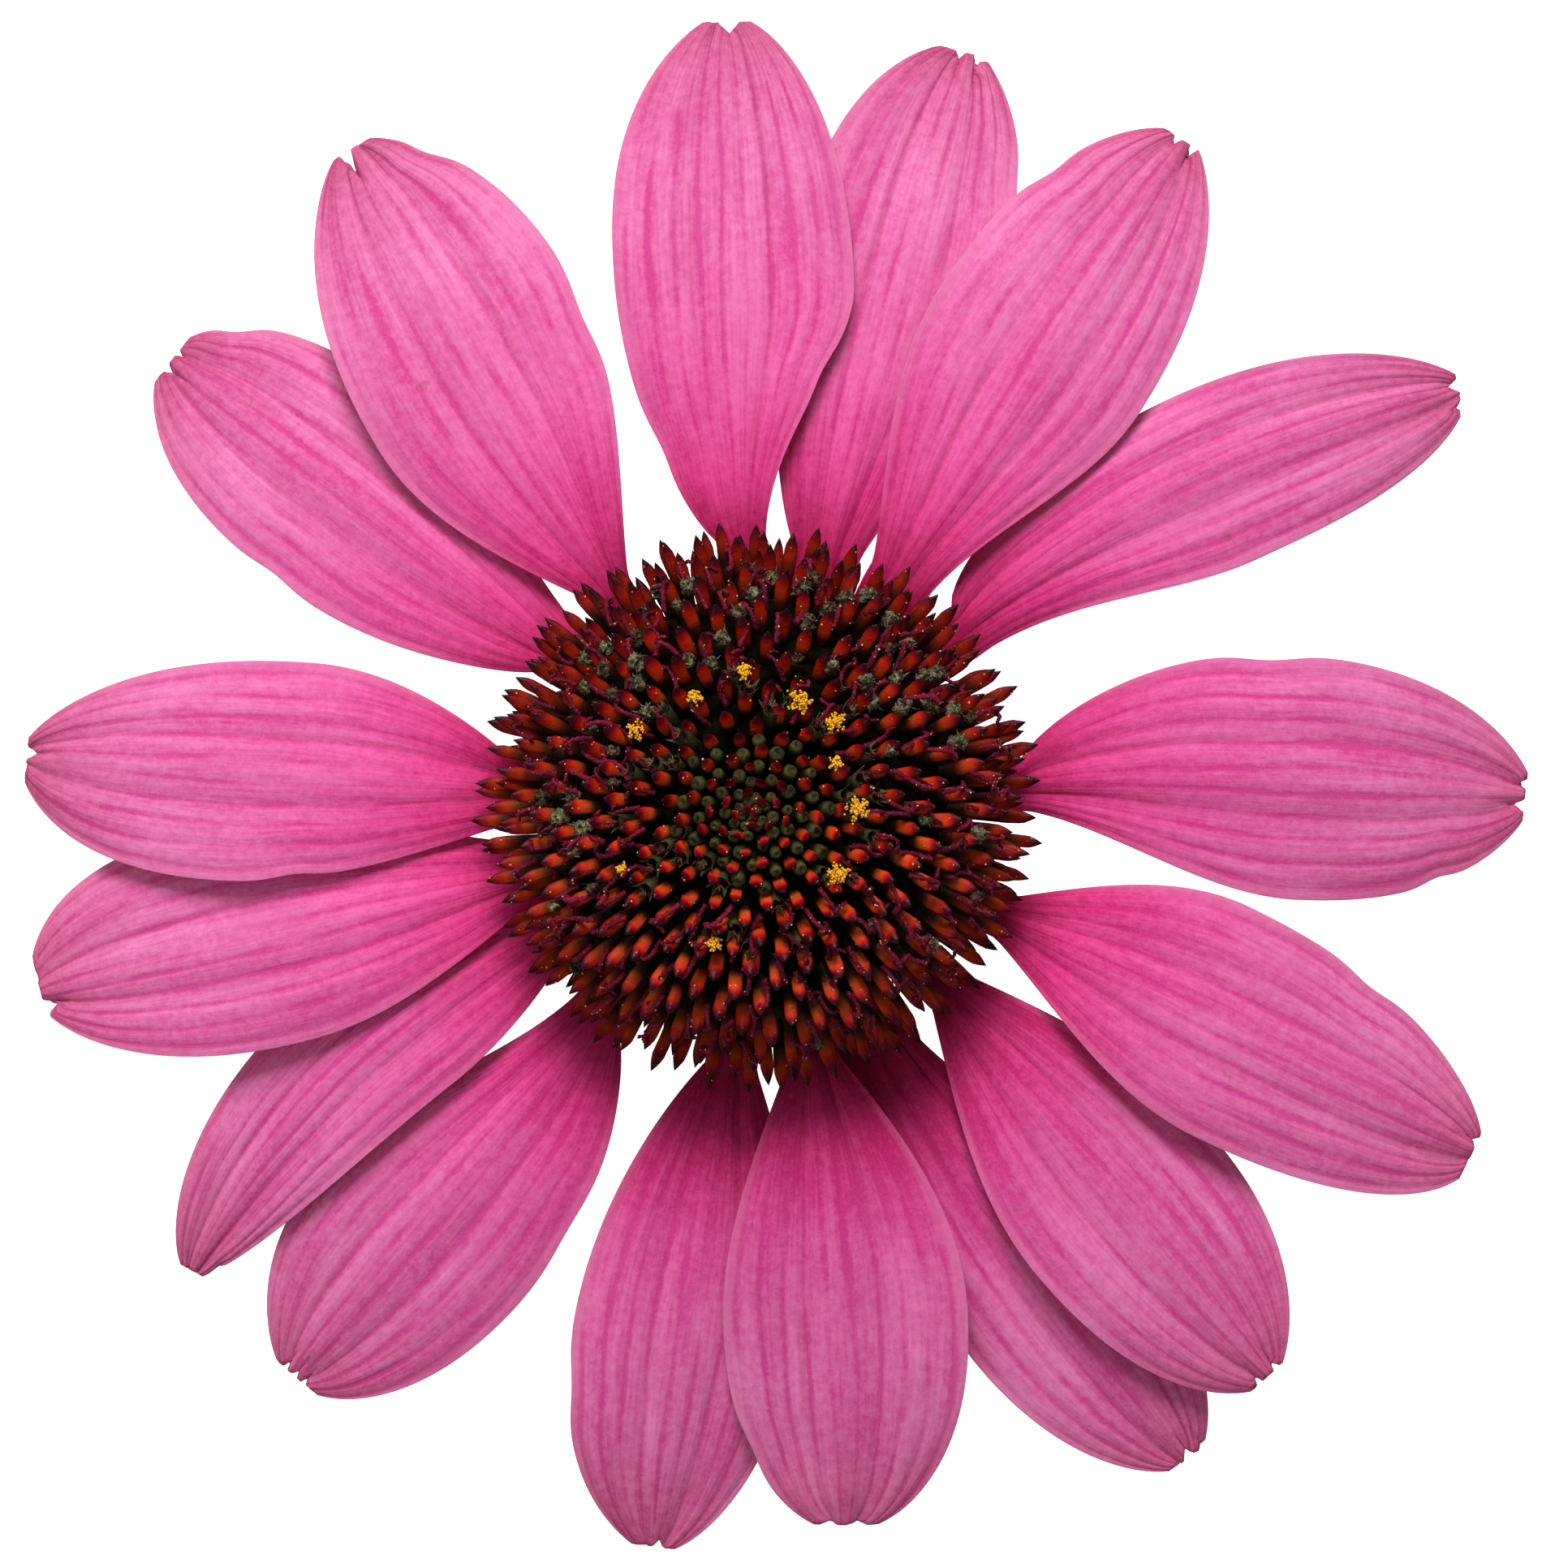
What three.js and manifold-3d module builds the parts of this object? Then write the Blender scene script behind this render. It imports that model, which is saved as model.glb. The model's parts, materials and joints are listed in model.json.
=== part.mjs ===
// Head of a purple coneflower, picked with a short stub of its stem and lying face up.
// Millimetres. +Z is up, through the cone; +Y is the side that carries the first ray.
// The origin is the centre of the cut under the stub, on the surface that the head rests on.
import * as THREE from "three";
import { mergeVertices } from "three/addons/utils/BufferGeometryUtils.js";
import Module from "manifold-3d";

const wasm = await Module();
wasm.setup();

const { degToRad, lerp, smoothstep, clamp } = THREE.MathUtils;
const UP = new THREE.Vector3(0, 0, 1);
const GAP = 0.3; // between neighbouring pieces

// Stem stub and receptacle: radii and heights
const STUB_R = 3;
const NECK_R = 3.3; // where the stem starts to flare
const NECK_Z = 3.6;
const FLARE_R = 4.6; // foot of the receptacle's flare
const FLARE_Z = 4.7;
const PLATE_R = 12.6; // rim, where the rays are set
const PLATE_UNDER_Z = 9.4;
const PLATE_TOP_Z = 10.9;
const TURNED_SIDES = 24;

// The series of bracts under the rays, from the upper one down. path is the middle line of a
// bract in radius and height, from its root in the receptacle to its bent-back tip.
const BRACT_THICK = 0.7;
const BRACT_ROOT_SHARE = 0.62; // width at the root as a share of the full width
const BRACT_WIDEST = 0.35; // share of the length where it is widest
const BRACT_POINT = 2.2; // how late the sides close to the point
const BRACT_TIP = 0.15; // half width left at the point
const BRACT_KEEL = 0.35; // how far the edges stand above the middle line
const BRACT_ROWS = [0, 0.4, 0.78, 1];
const BRACT_SERIES = [
  { count: 14, turn: 6, width: 3.6, path: [[10.6, 7.8], [14.4, 8.7], [17.2, 5.2]] },
  { count: 12, turn: 19, width: 3.6, path: [[8.4, 6.4], [12.4, 7.3], [15.4, 3.5]] },
  { count: 9, turn: 2, width: 3.2, path: [[5.8, 5.0], [9.8, 5.8], [12.4, 2.3]] },
];

// Cone: a domed core, stiff spines in a golden spiral, and buds among the young ones
const CONE_Z = PLATE_TOP_Z + GAP; // flat underside of the cone
const CORE_PROFILE = [
  [0, CONE_Z], [12.3, CONE_Z], [13.4, 12.5], [15.2, 13.9], [15.9, 16], [15.2, 18.6],
  [13, 21.4], [9.6, 23.6], [5.6, 24.4], [2.6, 23.6], [0, 23.2],
];
const CONE_R = 20.6; // out to the furthest spine tips
const DOME_R = 21.1; // radius of the half ellipse that the tips follow
const DOME_Z = 11.8; // its foot
const DOME_RISE = 16.2;
const DIMPLE = 1.6; // the young middle sits lower
const DIMPLE_R = 4.2;
const APEX_SHIFT = new THREE.Vector3(-0.5, -0.5, 0); // the growing point lies off the middle
const GOLDEN_ANGLE = degToRad(137.508);
const SPINE_COUNT = 256;
const SPINE = { half: [0.5, 0.78], long: [5.2, 7], deep: 0.8, lean: [4, 82], leanPower: 1.25 };
const SPINE_RINGS = [[0, 0.45], [0.72, 1]]; // share of the length, scale of the section
const YOUNG_SHARE = 0.42; // inside this share of the radius the florets are still buds
const BUD = { half: 0.55, long: 4.2, inward: 1.1, drop: 0.9 };
const BUD_RINGS = [[0, 0.5], [0.85, 1]];

// Ray florets: lengths, and shares of a ray's length or half width
const RAY_ROOT_R = 13; // inner end of a ray's claw
const RAY_ROOT_Z = 10.3;
const BLADE_THICK = 0.62;
const CLAW_THICK = 0.85;
const CLAW_THICK_TO = 0.25;
const CLAW_END = 0.1; // share of the length that is claw
const CLAW_SHARE = 0.17; // claw width as a share of the blade's
const TIP_REACH = 1.014; // where the outline would close, past the toothed end
const CROWN = 1.2; // how far a blade climbs before it droops
const CROWN_AT = 0.45;
const DROOP_FROM = 0.2;
const OPEN = [0.02, 0.22]; // where the narrow claw opens into the blade
const CLAW_LIFT = 0.45; // share of a ray's lift at its claw
const CAMBER = 0.9; // fall of the edges below the middle of a full blade
const FULL_HALF = 8.5;
const GROOVE = { deep: 0.28, at: 1 / 3, wide: 0.16 };
const WAVE = { high: 0.3, turns: 9 }; // slow waves along the edges
const TEETH_FROM = 0.93;
const RAY_ROWS = [0, 0.1, 0.2, 0.31, 0.43, 0.55, 0.67, 0.78, 0.88, 0.95, 1];
const RAY_COLUMNS = 6;

// The sixteen rays, clockwise from the top, seen from above. root is the angle at which the
// claw leaves the receptacle, and tip is the radius and angle of the end. bend bows the middle
// line towards ccw. lift and roll, in degrees about the middle line, stack the overlaps, droop
// is the fall to the tip, and lobes and notch shape the toothed end. ccw and cw are the two
// sides seen from above: [half width, share of the length where it is widest, how late it
// swells, how bluntly it closes].
const RAYS = [
  { root: 94.3, tip: [58.3, 92.5], lift: 0.9, droop: 7.2, lobes: 2, notch: 0.3,
    ccw: [8.9, 0.68, 0.9, 0.75], cw: [8.9, 0.68, 1.35, 0.62] },
  { root: 75, tip: [58.4, 74.3], lift: -0.8, droop: 7.6, notch: 0.4,
    ccw: [8.5, 0.62, 1, 0.72], cw: [7.7, 0.6, 1.2, 0.7] },
  { root: 59.5, tip: [58.8, 57.3], lift: 1.0, roll: 1, droop: 6.8, notch: 0.4,
    ccw: [9.2, 0.5, 1.2, 0.72], cw: [8.5, 0.6, 1.4, 0.62] },
  { root: 42, tip: [60.4, 31], bend: 3.4, lift: -0.7, roll: -2, droop: 8.4, lobes: 2, notch: 0.4,
    ccw: [6, 0.6, 1.2, 0.6], cw: [7.3, 0.64, 1.3, 0.55] },
  { root: 4.5, tip: [57.1, 0.9], bend: 1.2, lift: 0.2, roll: 3, droop: 6.6, notch: 0.5,
    ccw: [8.9, 0.52, 1, 0.62], cw: [9, 0.68, 1.3, 0.62] },
  { root: -24.5, tip: [59, -25.6], lift: 0.7, roll: -6, droop: 7.8, lobes: 2, notch: 0.4,
    ccw: [8.9, 0.5, 1.1, 0.62], cw: [8.2, 0.6, 1.1, 0.5] },
  { root: -44.5, tip: [56.7, -48.1], lift: 0.1, roll: -6, droop: 7, notch: 0.4,
    ccw: [8.5, 0.62, 1, 0.65], cw: [8.5, 0.62, 1, 0.62] },
  { root: -64, tip: [57.6, -57], lift: -1.6, roll: -1, droop: 7.4, notch: 0.4,
    ccw: [7, 0.6, 1.1, 0.5], cw: [8.5, 0.58, 1.1, 0.7] },
  { root: -76, tip: [53.8, -83.2], bend: 0.9, lift: 1.0, roll: -1, droop: 6.9, notch: 0.25,
    ccw: [9.4, 0.62, 1, 0.6], cw: [8.6, 0.66, 1, 0.6] },
  { root: -95, tip: [55.5, -98], lift: -0.6, roll: -3, droop: 7.8, lobes: 2, notch: 0.3,
    ccw: [8, 0.58, 1, 0.7], cw: [8.4, 0.66, 1, 0.7] },
  { root: -126, tip: [54.5, -129.3], lift: -0.9, roll: 4, droop: 8.2, notch: 0.4,
    ccw: [9.4, 0.54, 1, 0.56], cw: [8.4, 0.68, 1.1, 0.66] },
  { root: -148, tip: [54.7, -140.6], bend: -3.8, lift: -0.2, roll: 7, droop: 8.4, lobes: 1, notch: 0.4,
    ccw: [4.9, 0.6, 1.2, 0.7], cw: [6.1, 0.55, 1.1, 0.7] },
  { root: -162.5, tip: [55.2, -165.3], lift: 0.5, roll: 7, droop: 6.7, lobes: 2, notch: 0.6,
    ccw: [8, 0.58, 1, 0.62], cw: [9.2, 0.68, 1.1, 0.52] },
  { root: 175.6, tip: [54.4, 175.8], lift: 1.1, roll: 5, droop: 7.2, lobes: 2, notch: 0.35,
    ccw: [8.3, 0.6, 1, 0.62], cw: [8.3, 0.56, 1.1, 0.7] },
  { root: 142.9, tip: [54.8, 142.8], lift: -0.8, roll: 3, droop: 7.8, notch: 0.5,
    ccw: [7.8, 0.56, 1, 0.6], cw: [8.1, 0.64, 1.2, 0.55] },
  { root: 125.5, tip: [57.6, 121.8], lift: 0.9, droop: 6.9, lobes: 2, notch: 0.7,
    ccw: [9.5, 0.52, 1, 0.65], cw: [9.3, 0.6, 1.5, 0.65] },
];

const green = new THREE.MeshStandardMaterial({ color: 0x5d7a35, roughness: 0.7 });
const orangeRed = new THREE.MeshStandardMaterial({ color: 0x8a2c12, roughness: 0.4 });
const pink = new THREE.MeshStandardMaterial({ color: 0xe0609f, roughness: 0.6 });

// A closed geometry as a manifold-3d solid.
function solidOf(geometry) {
  const bare = geometry.clone().deleteAttribute("normal").deleteAttribute("uv");
  const merged = mergeVertices(bare);
  const corners = Array.from(merged.index.array);
  const triVerts = [];
  for (let i = 0; i < corners.length; i += 3) {
    const triangle = corners.slice(i, i + 3);
    if (new Set(triangle).size === 3) triVerts.push(...triangle);
  }
  return new wasm.Manifold(
    new wasm.Mesh({
      numProp: 3,
      vertProperties: new Float32Array(merged.attributes.position.array),
      triVerts: new Uint32Array(triVerts),
    }),
  );
}

// A closed geometry from its points and the corners of its triangles, as a solid.
function solidFrom(points, index) {
  return solidOf(new THREE.BufferGeometry().setFromPoints(points).setIndex(index));
}

// A named mesh from a manifold-3d solid.
function meshOf(name, solid, material) {
  const { numProp, vertProperties, triVerts } = solid.getMesh();
  const points = [];
  for (let i = 0; i < vertProperties.length; i += numProp) {
    points.push(new THREE.Vector3().fromArray(vertProperties, i));
  }
  const geometry = new THREE.BufferGeometry().setFromPoints(points).setIndex(Array.from(triVerts));
  geometry.computeVertexNormals();
  const mesh = new THREE.Mesh(geometry, material);
  mesh.name = name;
  return mesh;
}

// A profile of [radius, height] pairs turned about the Z axis.
function turned(profile) {
  const points = profile.map(([r, z]) => new THREE.Vector2(r, z));
  return solidOf(new THREE.LatheGeometry(points, TURNED_SIDES).rotateX(Math.PI / 2));
}

// A thin solid round a surface: at(s, u) gives a point of its middle, with s from root to tip
// and u from -1 to 1 across, and thick(s) its thickness. Both faces are split into the same
// triangles, and a wall closes the edge.
function blade(rows, columns, at, thick) {
  const step = 1e-3;
  const points = [];
  for (const side of [0.5, -0.5]) {
    for (const s of rows) {
      for (let j = 0; j <= columns; j++) {
        const u = (2 * j) / columns - 1;
        const along = at(Math.min(s + step, 1), u).sub(at(Math.max(s - step, 0), u));
        const across = at(s, Math.min(u + step, 1)).sub(at(s, Math.max(u - step, -1)));
        const normal = along.cross(across).normalize();
        points.push(at(s, u).addScaledVector(normal, side * thick(s)));
      }
    }
  }
  const wide = columns + 1;
  const under = rows.length * wide;
  const index = [];
  for (let i = 0; i + 1 < rows.length; i++) {
    for (let j = 0; j < columns; j++) {
      const a = i * wide + j;
      const [b, c, d] = [a + 1, a + wide, a + wide + 1];
      index.push(a, c, d, a, d, b);
      index.push(a + under, d + under, c + under, a + under, b + under, d + under);
    }
  }
  const edge = [];
  for (let j = 0; j < columns; j++) edge.push(j);
  for (let i = 0; i + 1 < rows.length; i++) edge.push(i * wide + columns);
  for (let j = columns; j > 0; j--) edge.push((rows.length - 1) * wide + j);
  for (let i = rows.length - 1; i > 0; i--) edge.push(i * wide);
  edge.forEach((a, k) => {
    const b = edge[(k + 1) % edge.length];
    index.push(a, b, b + under, a, b + under, a + under);
  });
  return solidFrom(points, index);
}

// A pointed body that ends at tip and runs back along its direction. section holds the corners
// of its cross-section, counter-clockwise, and rings where along it that section is set.
function spike({ tip, direction, around }, length, section, rings) {
  const inward = direction.clone().cross(around);
  const points = [];
  for (const [share, scale] of rings) {
    const centre = tip.clone().addScaledVector(direction, (share - 1) * length);
    for (const [x, y] of section) {
      points.push(centre.clone().addScaledVector(around, x * scale).addScaledVector(inward, y * scale));
    }
  }
  const apex = points.push(tip.clone()) - 1;
  const sides = section.length;
  const last = apex - sides;
  const index = [];
  for (let j = 0; j < sides; j++) {
    const k = (j + 1) % sides;
    for (let ring = 0; ring < last; ring += sides) {
      const [a, b, c, d] = [ring + j, ring + k, ring + sides + j, ring + sides + k];
      index.push(a, b, d, a, d, c);
    }
    index.push(last + j, last + k, apex);
    if (j > 0 && k > 0) index.push(0, k, j);
  }
  return solidFrom(points, index);
}

// One bract: a lance-shaped leaf, keeled below, that spreads from the receptacle and bends back.
function bract({ width, path }, angle) {
  const curve = new THREE.QuadraticBezierCurve(...path.map(([r, z]) => new THREE.Vector2(r, z)));
  const surface = (s, u) => {
    const { x: r, y: z } = curve.getPoint(s);
    const swell = Math.sin((Math.PI / 2) * Math.min(1, s / BRACT_WIDEST));
    const close = 1 - s ** BRACT_POINT;
    const half = (width / 2) * lerp(BRACT_ROOT_SHARE, 1, swell) * close + BRACT_TIP;
    const keel = BRACT_KEEL * Math.abs(u) * (1 - s);
    return new THREE.Vector3(r, u * half, z + keel).applyAxisAngle(UP, angle);
  };
  return blade(BRACT_ROWS, 2, surface, () => BRACT_THICK);
}

// The stub of the stem, the receptacle that it flares into, and the bracts that grow from it.
function stemAndBracts() {
  const pieces = [
    turned([
      [0, 0],
      [STUB_R, 0],
      [NECK_R, NECK_Z],
      [FLARE_R, FLARE_Z],
      [PLATE_R, PLATE_UNDER_Z],
      [PLATE_R, PLATE_TOP_Z],
      [0, PLATE_TOP_Z],
    ]),
  ];
  for (const series of BRACT_SERIES) {
    for (let k = 0; k < series.count; k++) {
      pieces.push(bract(series, degToRad(series.turn) + (2 * Math.PI * k) / series.count));
    }
  }
  return wasm.Manifold.union(pieces);
}

// Height at radius r of the dome that the spine tips follow.
function domeZ(r) {
  const ellipse = Math.sqrt(Math.max(0, 1 - (r / DOME_R) ** 2));
  return DOME_Z + DOME_RISE * ellipse - DIMPLE * Math.exp(-((r / DIMPLE_R) ** 2));
}

// Where the tip of spine number n lies, and the way it points: up in the middle of the cone,
// and nearly level at its rim.
function spinePlace(n) {
  const share = Math.sqrt((n + 0.5) / SPINE_COUNT);
  const out = new THREE.Vector3(1, 0, 0).applyAxisAngle(UP, n * GOLDEN_ANGLE);
  const around = UP.clone().cross(out);
  const tip = out.clone().multiplyScalar(CONE_R * share).setZ(domeZ(CONE_R * share));
  tip.addScaledVector(APEX_SHIFT, 1 - share);
  const lean = degToRad(lerp(...SPINE.lean, share ** SPINE.leanPower));
  const direction = UP.clone().applyAxisAngle(around, lean);
  return { share, out, around, tip, direction };
}

// The cone: its core, a keeled spine at each place, and a square bud inside each young spine.
function cone() {
  const pieces = [turned(CORE_PROFILE)];
  for (let n = 0; n < SPINE_COUNT; n++) {
    const place = spinePlace(n);
    const { share, out, tip } = place;
    const half = lerp(...SPINE.half, smoothstep(share, 0.05, 0.5));
    const keel = half * SPINE.deep;
    const keeled = [[-half, keel / 2], [0, -keel], [half, keel / 2]];
    pieces.push(spike(place, lerp(...SPINE.long, share), keeled, SPINE_RINGS));
    if (share > YOUNG_SHARE) continue;
    const budTip = tip.clone().addScaledVector(out, -BUD.inward);
    budTip.z = domeZ(Math.max(0, CONE_R * share - BUD.inward)) - BUD.drop;
    const square = [[-1, -1], [1, -1], [1, 1], [-1, 1]].map(([x, y]) => [x * BUD.half, y * BUD.half]);
    pieces.push(spike({ ...place, tip: budTip }, BUD.long, square, BUD_RINGS));
  }
  return wasm.Manifold.union(pieces);
}

// Half width of one side of a ray at the share s of its length.
function halfWidth(s, [width, widest, late, blunt]) {
  if (s > widest) {
    const x = (s - widest) / (TIP_REACH - widest);
    return width * (1 - x * x) ** blunt;
  }
  const x = Math.max(0, (s - CLAW_END) / (widest - CLAW_END));
  return width * lerp(CLAW_SHARE, 1, Math.sin((Math.PI / 2) * x ** late));
}

// The middle surface of a ray: s from the claw to the tip, u from the cw to the ccw edge.
function raySurface({ root, tip, bend = 0, lift, roll = 0, droop, lobes = 3, notch, ccw, cw }) {
  const middle = new THREE.Vector2();
  const start = new THREE.Vector2(RAY_ROOT_R, 0).rotateAround(middle, degToRad(root));
  const end = new THREE.Vector2(tip[0], 0).rotateAround(middle, degToRad(tip[1]));
  const chord = end.clone().sub(start).normalize();
  const sideways = new THREE.Vector2(-chord.y, chord.x);
  const control = start.clone().lerp(end, 0.5).addScaledVector(sideways, 2 * bend);
  const line = new THREE.QuadraticBezierCurve(start, control, end);
  return (s, u) => {
    const point = line.getPoint(s);
    const ahead = line.getTangent(s);
    const half = halfWidth(s, u > 0 ? ccw : cw);
    const aside = u * half;
    const teeth = -notch * Math.cos(Math.PI * lobes * (u + 1)) * smoothstep(s, TEETH_FROM, 1);
    const open = smoothstep(s, ...OPEN);
    const climb = CROWN * Math.sin((Math.PI / 2) * Math.min(1, s / CROWN_AT));
    const fall = droop * clamp((s - DROOP_FROM) / (1 - DROOP_FROM), 0, 1) ** 2;
    const stack = lift * lerp(CLAW_LIFT, 1, open) + aside * Math.tan(degToRad(roll)) * open;
    const groove = GROOVE.deep * Math.exp(-(((Math.abs(u) - GROOVE.at) / GROOVE.wide) ** 2));
    const camber = CAMBER * u * u * (half / FULL_HALF);
    const wave = WAVE.high * u * Math.abs(u) * Math.sin(WAVE.turns * (s + degToRad(root)));
    return new THREE.Vector3(
      point.x - ahead.y * aside + ahead.x * teeth,
      point.y + ahead.x * aside + ahead.y * teeth,
      RAY_ROOT_Z + climb - fall + stack + (wave - groove - camber) * open,
    );
  };
}

// One ray floret: its claw is thicker than its blade.
function rayFloret(ray) {
  const thick = (s) => lerp(CLAW_THICK, BLADE_THICK, smoothstep(s, 0, CLAW_THICK_TO));
  return blade(RAY_ROWS, RAY_COLUMNS, raySurface(ray), thick);
}

const head = new THREE.Group();
head.add(meshOf("stem_and_bracts", stemAndBracts(), green));
head.add(meshOf("cone", cone(), orangeRed));
RAYS.forEach((ray, i) => {
  const number = String(i + 1).padStart(2, "0");
  head.add(meshOf(`ray_floret_${number}`, rayFloret(ray), pink.clone()));
});

export default head;
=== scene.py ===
import json
import math

import bpy
import numpy as np
from mathutils import Matrix, Vector

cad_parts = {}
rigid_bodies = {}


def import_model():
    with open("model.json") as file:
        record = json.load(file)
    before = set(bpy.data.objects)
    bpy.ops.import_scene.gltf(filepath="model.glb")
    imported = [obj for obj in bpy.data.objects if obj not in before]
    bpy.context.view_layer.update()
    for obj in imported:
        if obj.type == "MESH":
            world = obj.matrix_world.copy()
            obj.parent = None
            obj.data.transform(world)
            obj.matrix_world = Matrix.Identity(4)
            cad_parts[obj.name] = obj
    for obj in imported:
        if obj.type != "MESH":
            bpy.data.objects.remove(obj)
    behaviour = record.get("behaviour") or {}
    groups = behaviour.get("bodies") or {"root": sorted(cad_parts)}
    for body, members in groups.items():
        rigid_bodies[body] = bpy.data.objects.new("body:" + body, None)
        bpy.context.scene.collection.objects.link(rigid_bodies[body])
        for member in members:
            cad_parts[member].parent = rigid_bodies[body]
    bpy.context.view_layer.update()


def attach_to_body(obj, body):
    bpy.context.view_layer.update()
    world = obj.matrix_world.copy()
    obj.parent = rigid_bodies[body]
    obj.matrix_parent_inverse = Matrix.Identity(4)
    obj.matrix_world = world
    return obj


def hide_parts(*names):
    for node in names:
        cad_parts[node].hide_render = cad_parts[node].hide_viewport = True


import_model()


# STEM END AND RECEPTACLE
# The round green stem, picked short with a clean cut, and the receptacle that it flares into and
# that carries bracts, petals and cone. It grew as one piece: finely ribbed, with stiff pale hairs.
MM = 0.001  # sizes are written in millimetres, and meshes end up in metres
FULL_TURN = 2 * math.pi
# radius and height from the cut to the top
STEM_PROFILE = [(0, 0.25), (1.1, 0.12), (2.1, 0.02), (2.8, 0), (3.0, 0.12), (3.05, 1.4), (3.15, 2.7),
                (3.4, 3.8), (4.3, 4.7), (6.2, 5.9), (9.0, 7.5), (11.6, 9.0), (12.5, 9.7), (12.6, 10.4),
                (12.2, 10.85), (0, 10.9)]
STEM_SIDES, STEM_STEPS = 128, 7
CLOSED_R = 0.02  # radius of a ring at a closed end
RIBS, RIB_HIGH = 16, 0.12
RIBS_FROM, RIBS_TO = 0.4, 8.5  # heights between which the ribs stand out
RIBS_RISE, RIBS_FADE = 0.5, 2
# colours of the stem, as red, green and blue that a screen shows
FURROW_GREEN, CREST_GREEN, NECK_GREEN = (58, 78, 30), (104, 124, 58), (122, 140, 66)
STEM_BLOTCH, CUT_TAN, STEM_SPECK, STEM_BLOOM = (92, 98, 48), (128, 122, 76), (70, 42, 34), (150, 160, 100)
NECK_Z, CUT_Z = (3.0, 10.0), (0.0, 0.5)  # heights over which the neck turns paler, and the cut's tan ends


def smooth(x, low, high):
    """0 below low, 1 above high and a soft step between, like the CAD model's."""
    t = np.clip((x - low) / (high - low), 0, 1)
    return t * t * (3 - 2 * t)


def around(sides):
    """The angles of a ring's points."""
    return np.linspace(0, FULL_TURN, sides, endpoint=False)


def turned(turn, spots):
    """Rings about the Z axis with these angles, one for each spot's radius and height."""
    return [np.stack([radius * np.cos(turn), radius * np.sin(turn), np.full(len(turn), height)], -1)
            for radius, height in spots]


def fine_profile(profile, steps):
    """Place, radius and height along a profile, with steps on each of its stretches."""
    ends = np.arange(len(profile))
    fine = np.linspace(0, len(profile) - 1, (len(profile) - 1) * steps + 1)
    radius, height = (np.interp(fine, ends, column) for column in np.array(profile).T)
    return fine, np.maximum(radius, CLOSED_R), height


def attach(mesh, name, values):
    """Keeps one value for each point of a mesh as an attribute."""
    mesh.attributes.new(name, "FLOAT", "POINT").data.foreach_set("value", values)


def new_mesh(name, points, faces):
    """A smoothly shaded mesh."""
    mesh = bpy.data.meshes.new(name)
    mesh.from_pydata(points.tolist(), [], faces)
    mesh.shade_smooth()
    return mesh


def loft(name, rings, **values):
    """A closed mesh through rings of points in mm, with an attribute for each list of one value a ring."""
    rings = np.asarray(rings, float)
    count, sides, _ = rings.shape
    grid = np.arange(count * sides).reshape(count, sides)
    after = np.roll(grid, -1, axis=1)
    first, last = count * sides, count * sides + 1
    walls = np.stack([grid[:-1], after[:-1], after[1:], grid[1:]], -1).reshape(-1, 4).tolist()
    start = [(first, b, a) for a, b in zip(grid[0].tolist(), after[0].tolist())]
    end = [(last, a, b) for a, b in zip(grid[-1].tolist(), after[-1].tolist())]
    points = np.concatenate([rings.reshape(-1, 3), rings[:1].mean(1), rings[-1:].mean(1)])
    mesh = new_mesh(name, points, walls + start + end)
    for key, value in values.items():
        value = np.asarray(value, float)
        attach(mesh, key, np.concatenate([np.repeat(value, sides), value[:1], value[-1:]]))
    return mesh


def placed(name, mesh):
    """An object with this mesh."""
    thing = bpy.data.objects.new(name, mesh)
    bpy.context.collection.objects.link(thing)
    return thing


def joined(name, meshes):
    """One mesh of several, with the attributes of all."""
    parts = [placed(name, mesh) for mesh in meshes]
    with bpy.context.temp_override(active_object=parts[0], selected_editable_objects=parts):
        bpy.ops.object.join()
    mesh = parts[0].data
    bpy.data.objects.remove(parts[0])
    return mesh


def piece(name, mesh, material, node):
    """A finished piece of the head from a mesh in metres, in place of a CAD node."""
    thing = placed(name, mesh)
    thing.data.materials.clear()
    thing.data.materials.append(material)
    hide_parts(node)
    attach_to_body(thing, "root")
    return thing


def in_metres(mesh):
    """The same mesh, scaled from millimetres."""
    points = np.zeros(3 * len(mesh.vertices), dtype=np.float32)
    mesh.vertices.foreach_get("co", points)
    mesh.vertices.foreach_set("co", points * MM)
    mesh.update()
    return mesh


class Wire:
    """A node's output. Arithmetic on it adds Math nodes to its tree."""

    def __init__(self, socket):
        self.socket = socket
        self.tree = socket.id_data

    def soft(self, low, high, to_low=0.0, to_high=1.0):
        """Mapped softly from one range to another, and held there."""
        values = {0: self, 1: low, 2: high, 3: to_low, 4: to_high}
        return node(self.tree, "ShaderNodeMapRange", values, interpolation_type="SMOOTHSTEP")[0]


def arithmetic(operation, swapped=False):
    """A method of a wire that adds one Math node."""
    def method(self, *others):
        values = (*others, self) if swapped else (self, *others)
        return node(self.tree, "ShaderNodeMath", enumerate(values), operation=operation)[0]
    return method


for name, operation in {
        "__add__": "ADD", "__sub__": "SUBTRACT", "__mul__": "MULTIPLY", "__truediv__": "DIVIDE",
        "__pow__": "POWER", "__abs__": "ABSOLUTE", "sine": "SINE", "cosine": "COSINE",
        "exponential": "EXPONENT", "floor": "FLOOR", "fraction": "FRACT", "above": "GREATER_THAN",
        "below": "LESS_THAN"}.items():
    setattr(Wire, name, arithmetic(operation))
for name, operation in {"__radd__": "ADD", "__rsub__": "SUBTRACT", "__rmul__": "MULTIPLY"}.items():
    setattr(Wire, name, arithmetic(operation, swapped=True))


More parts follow.
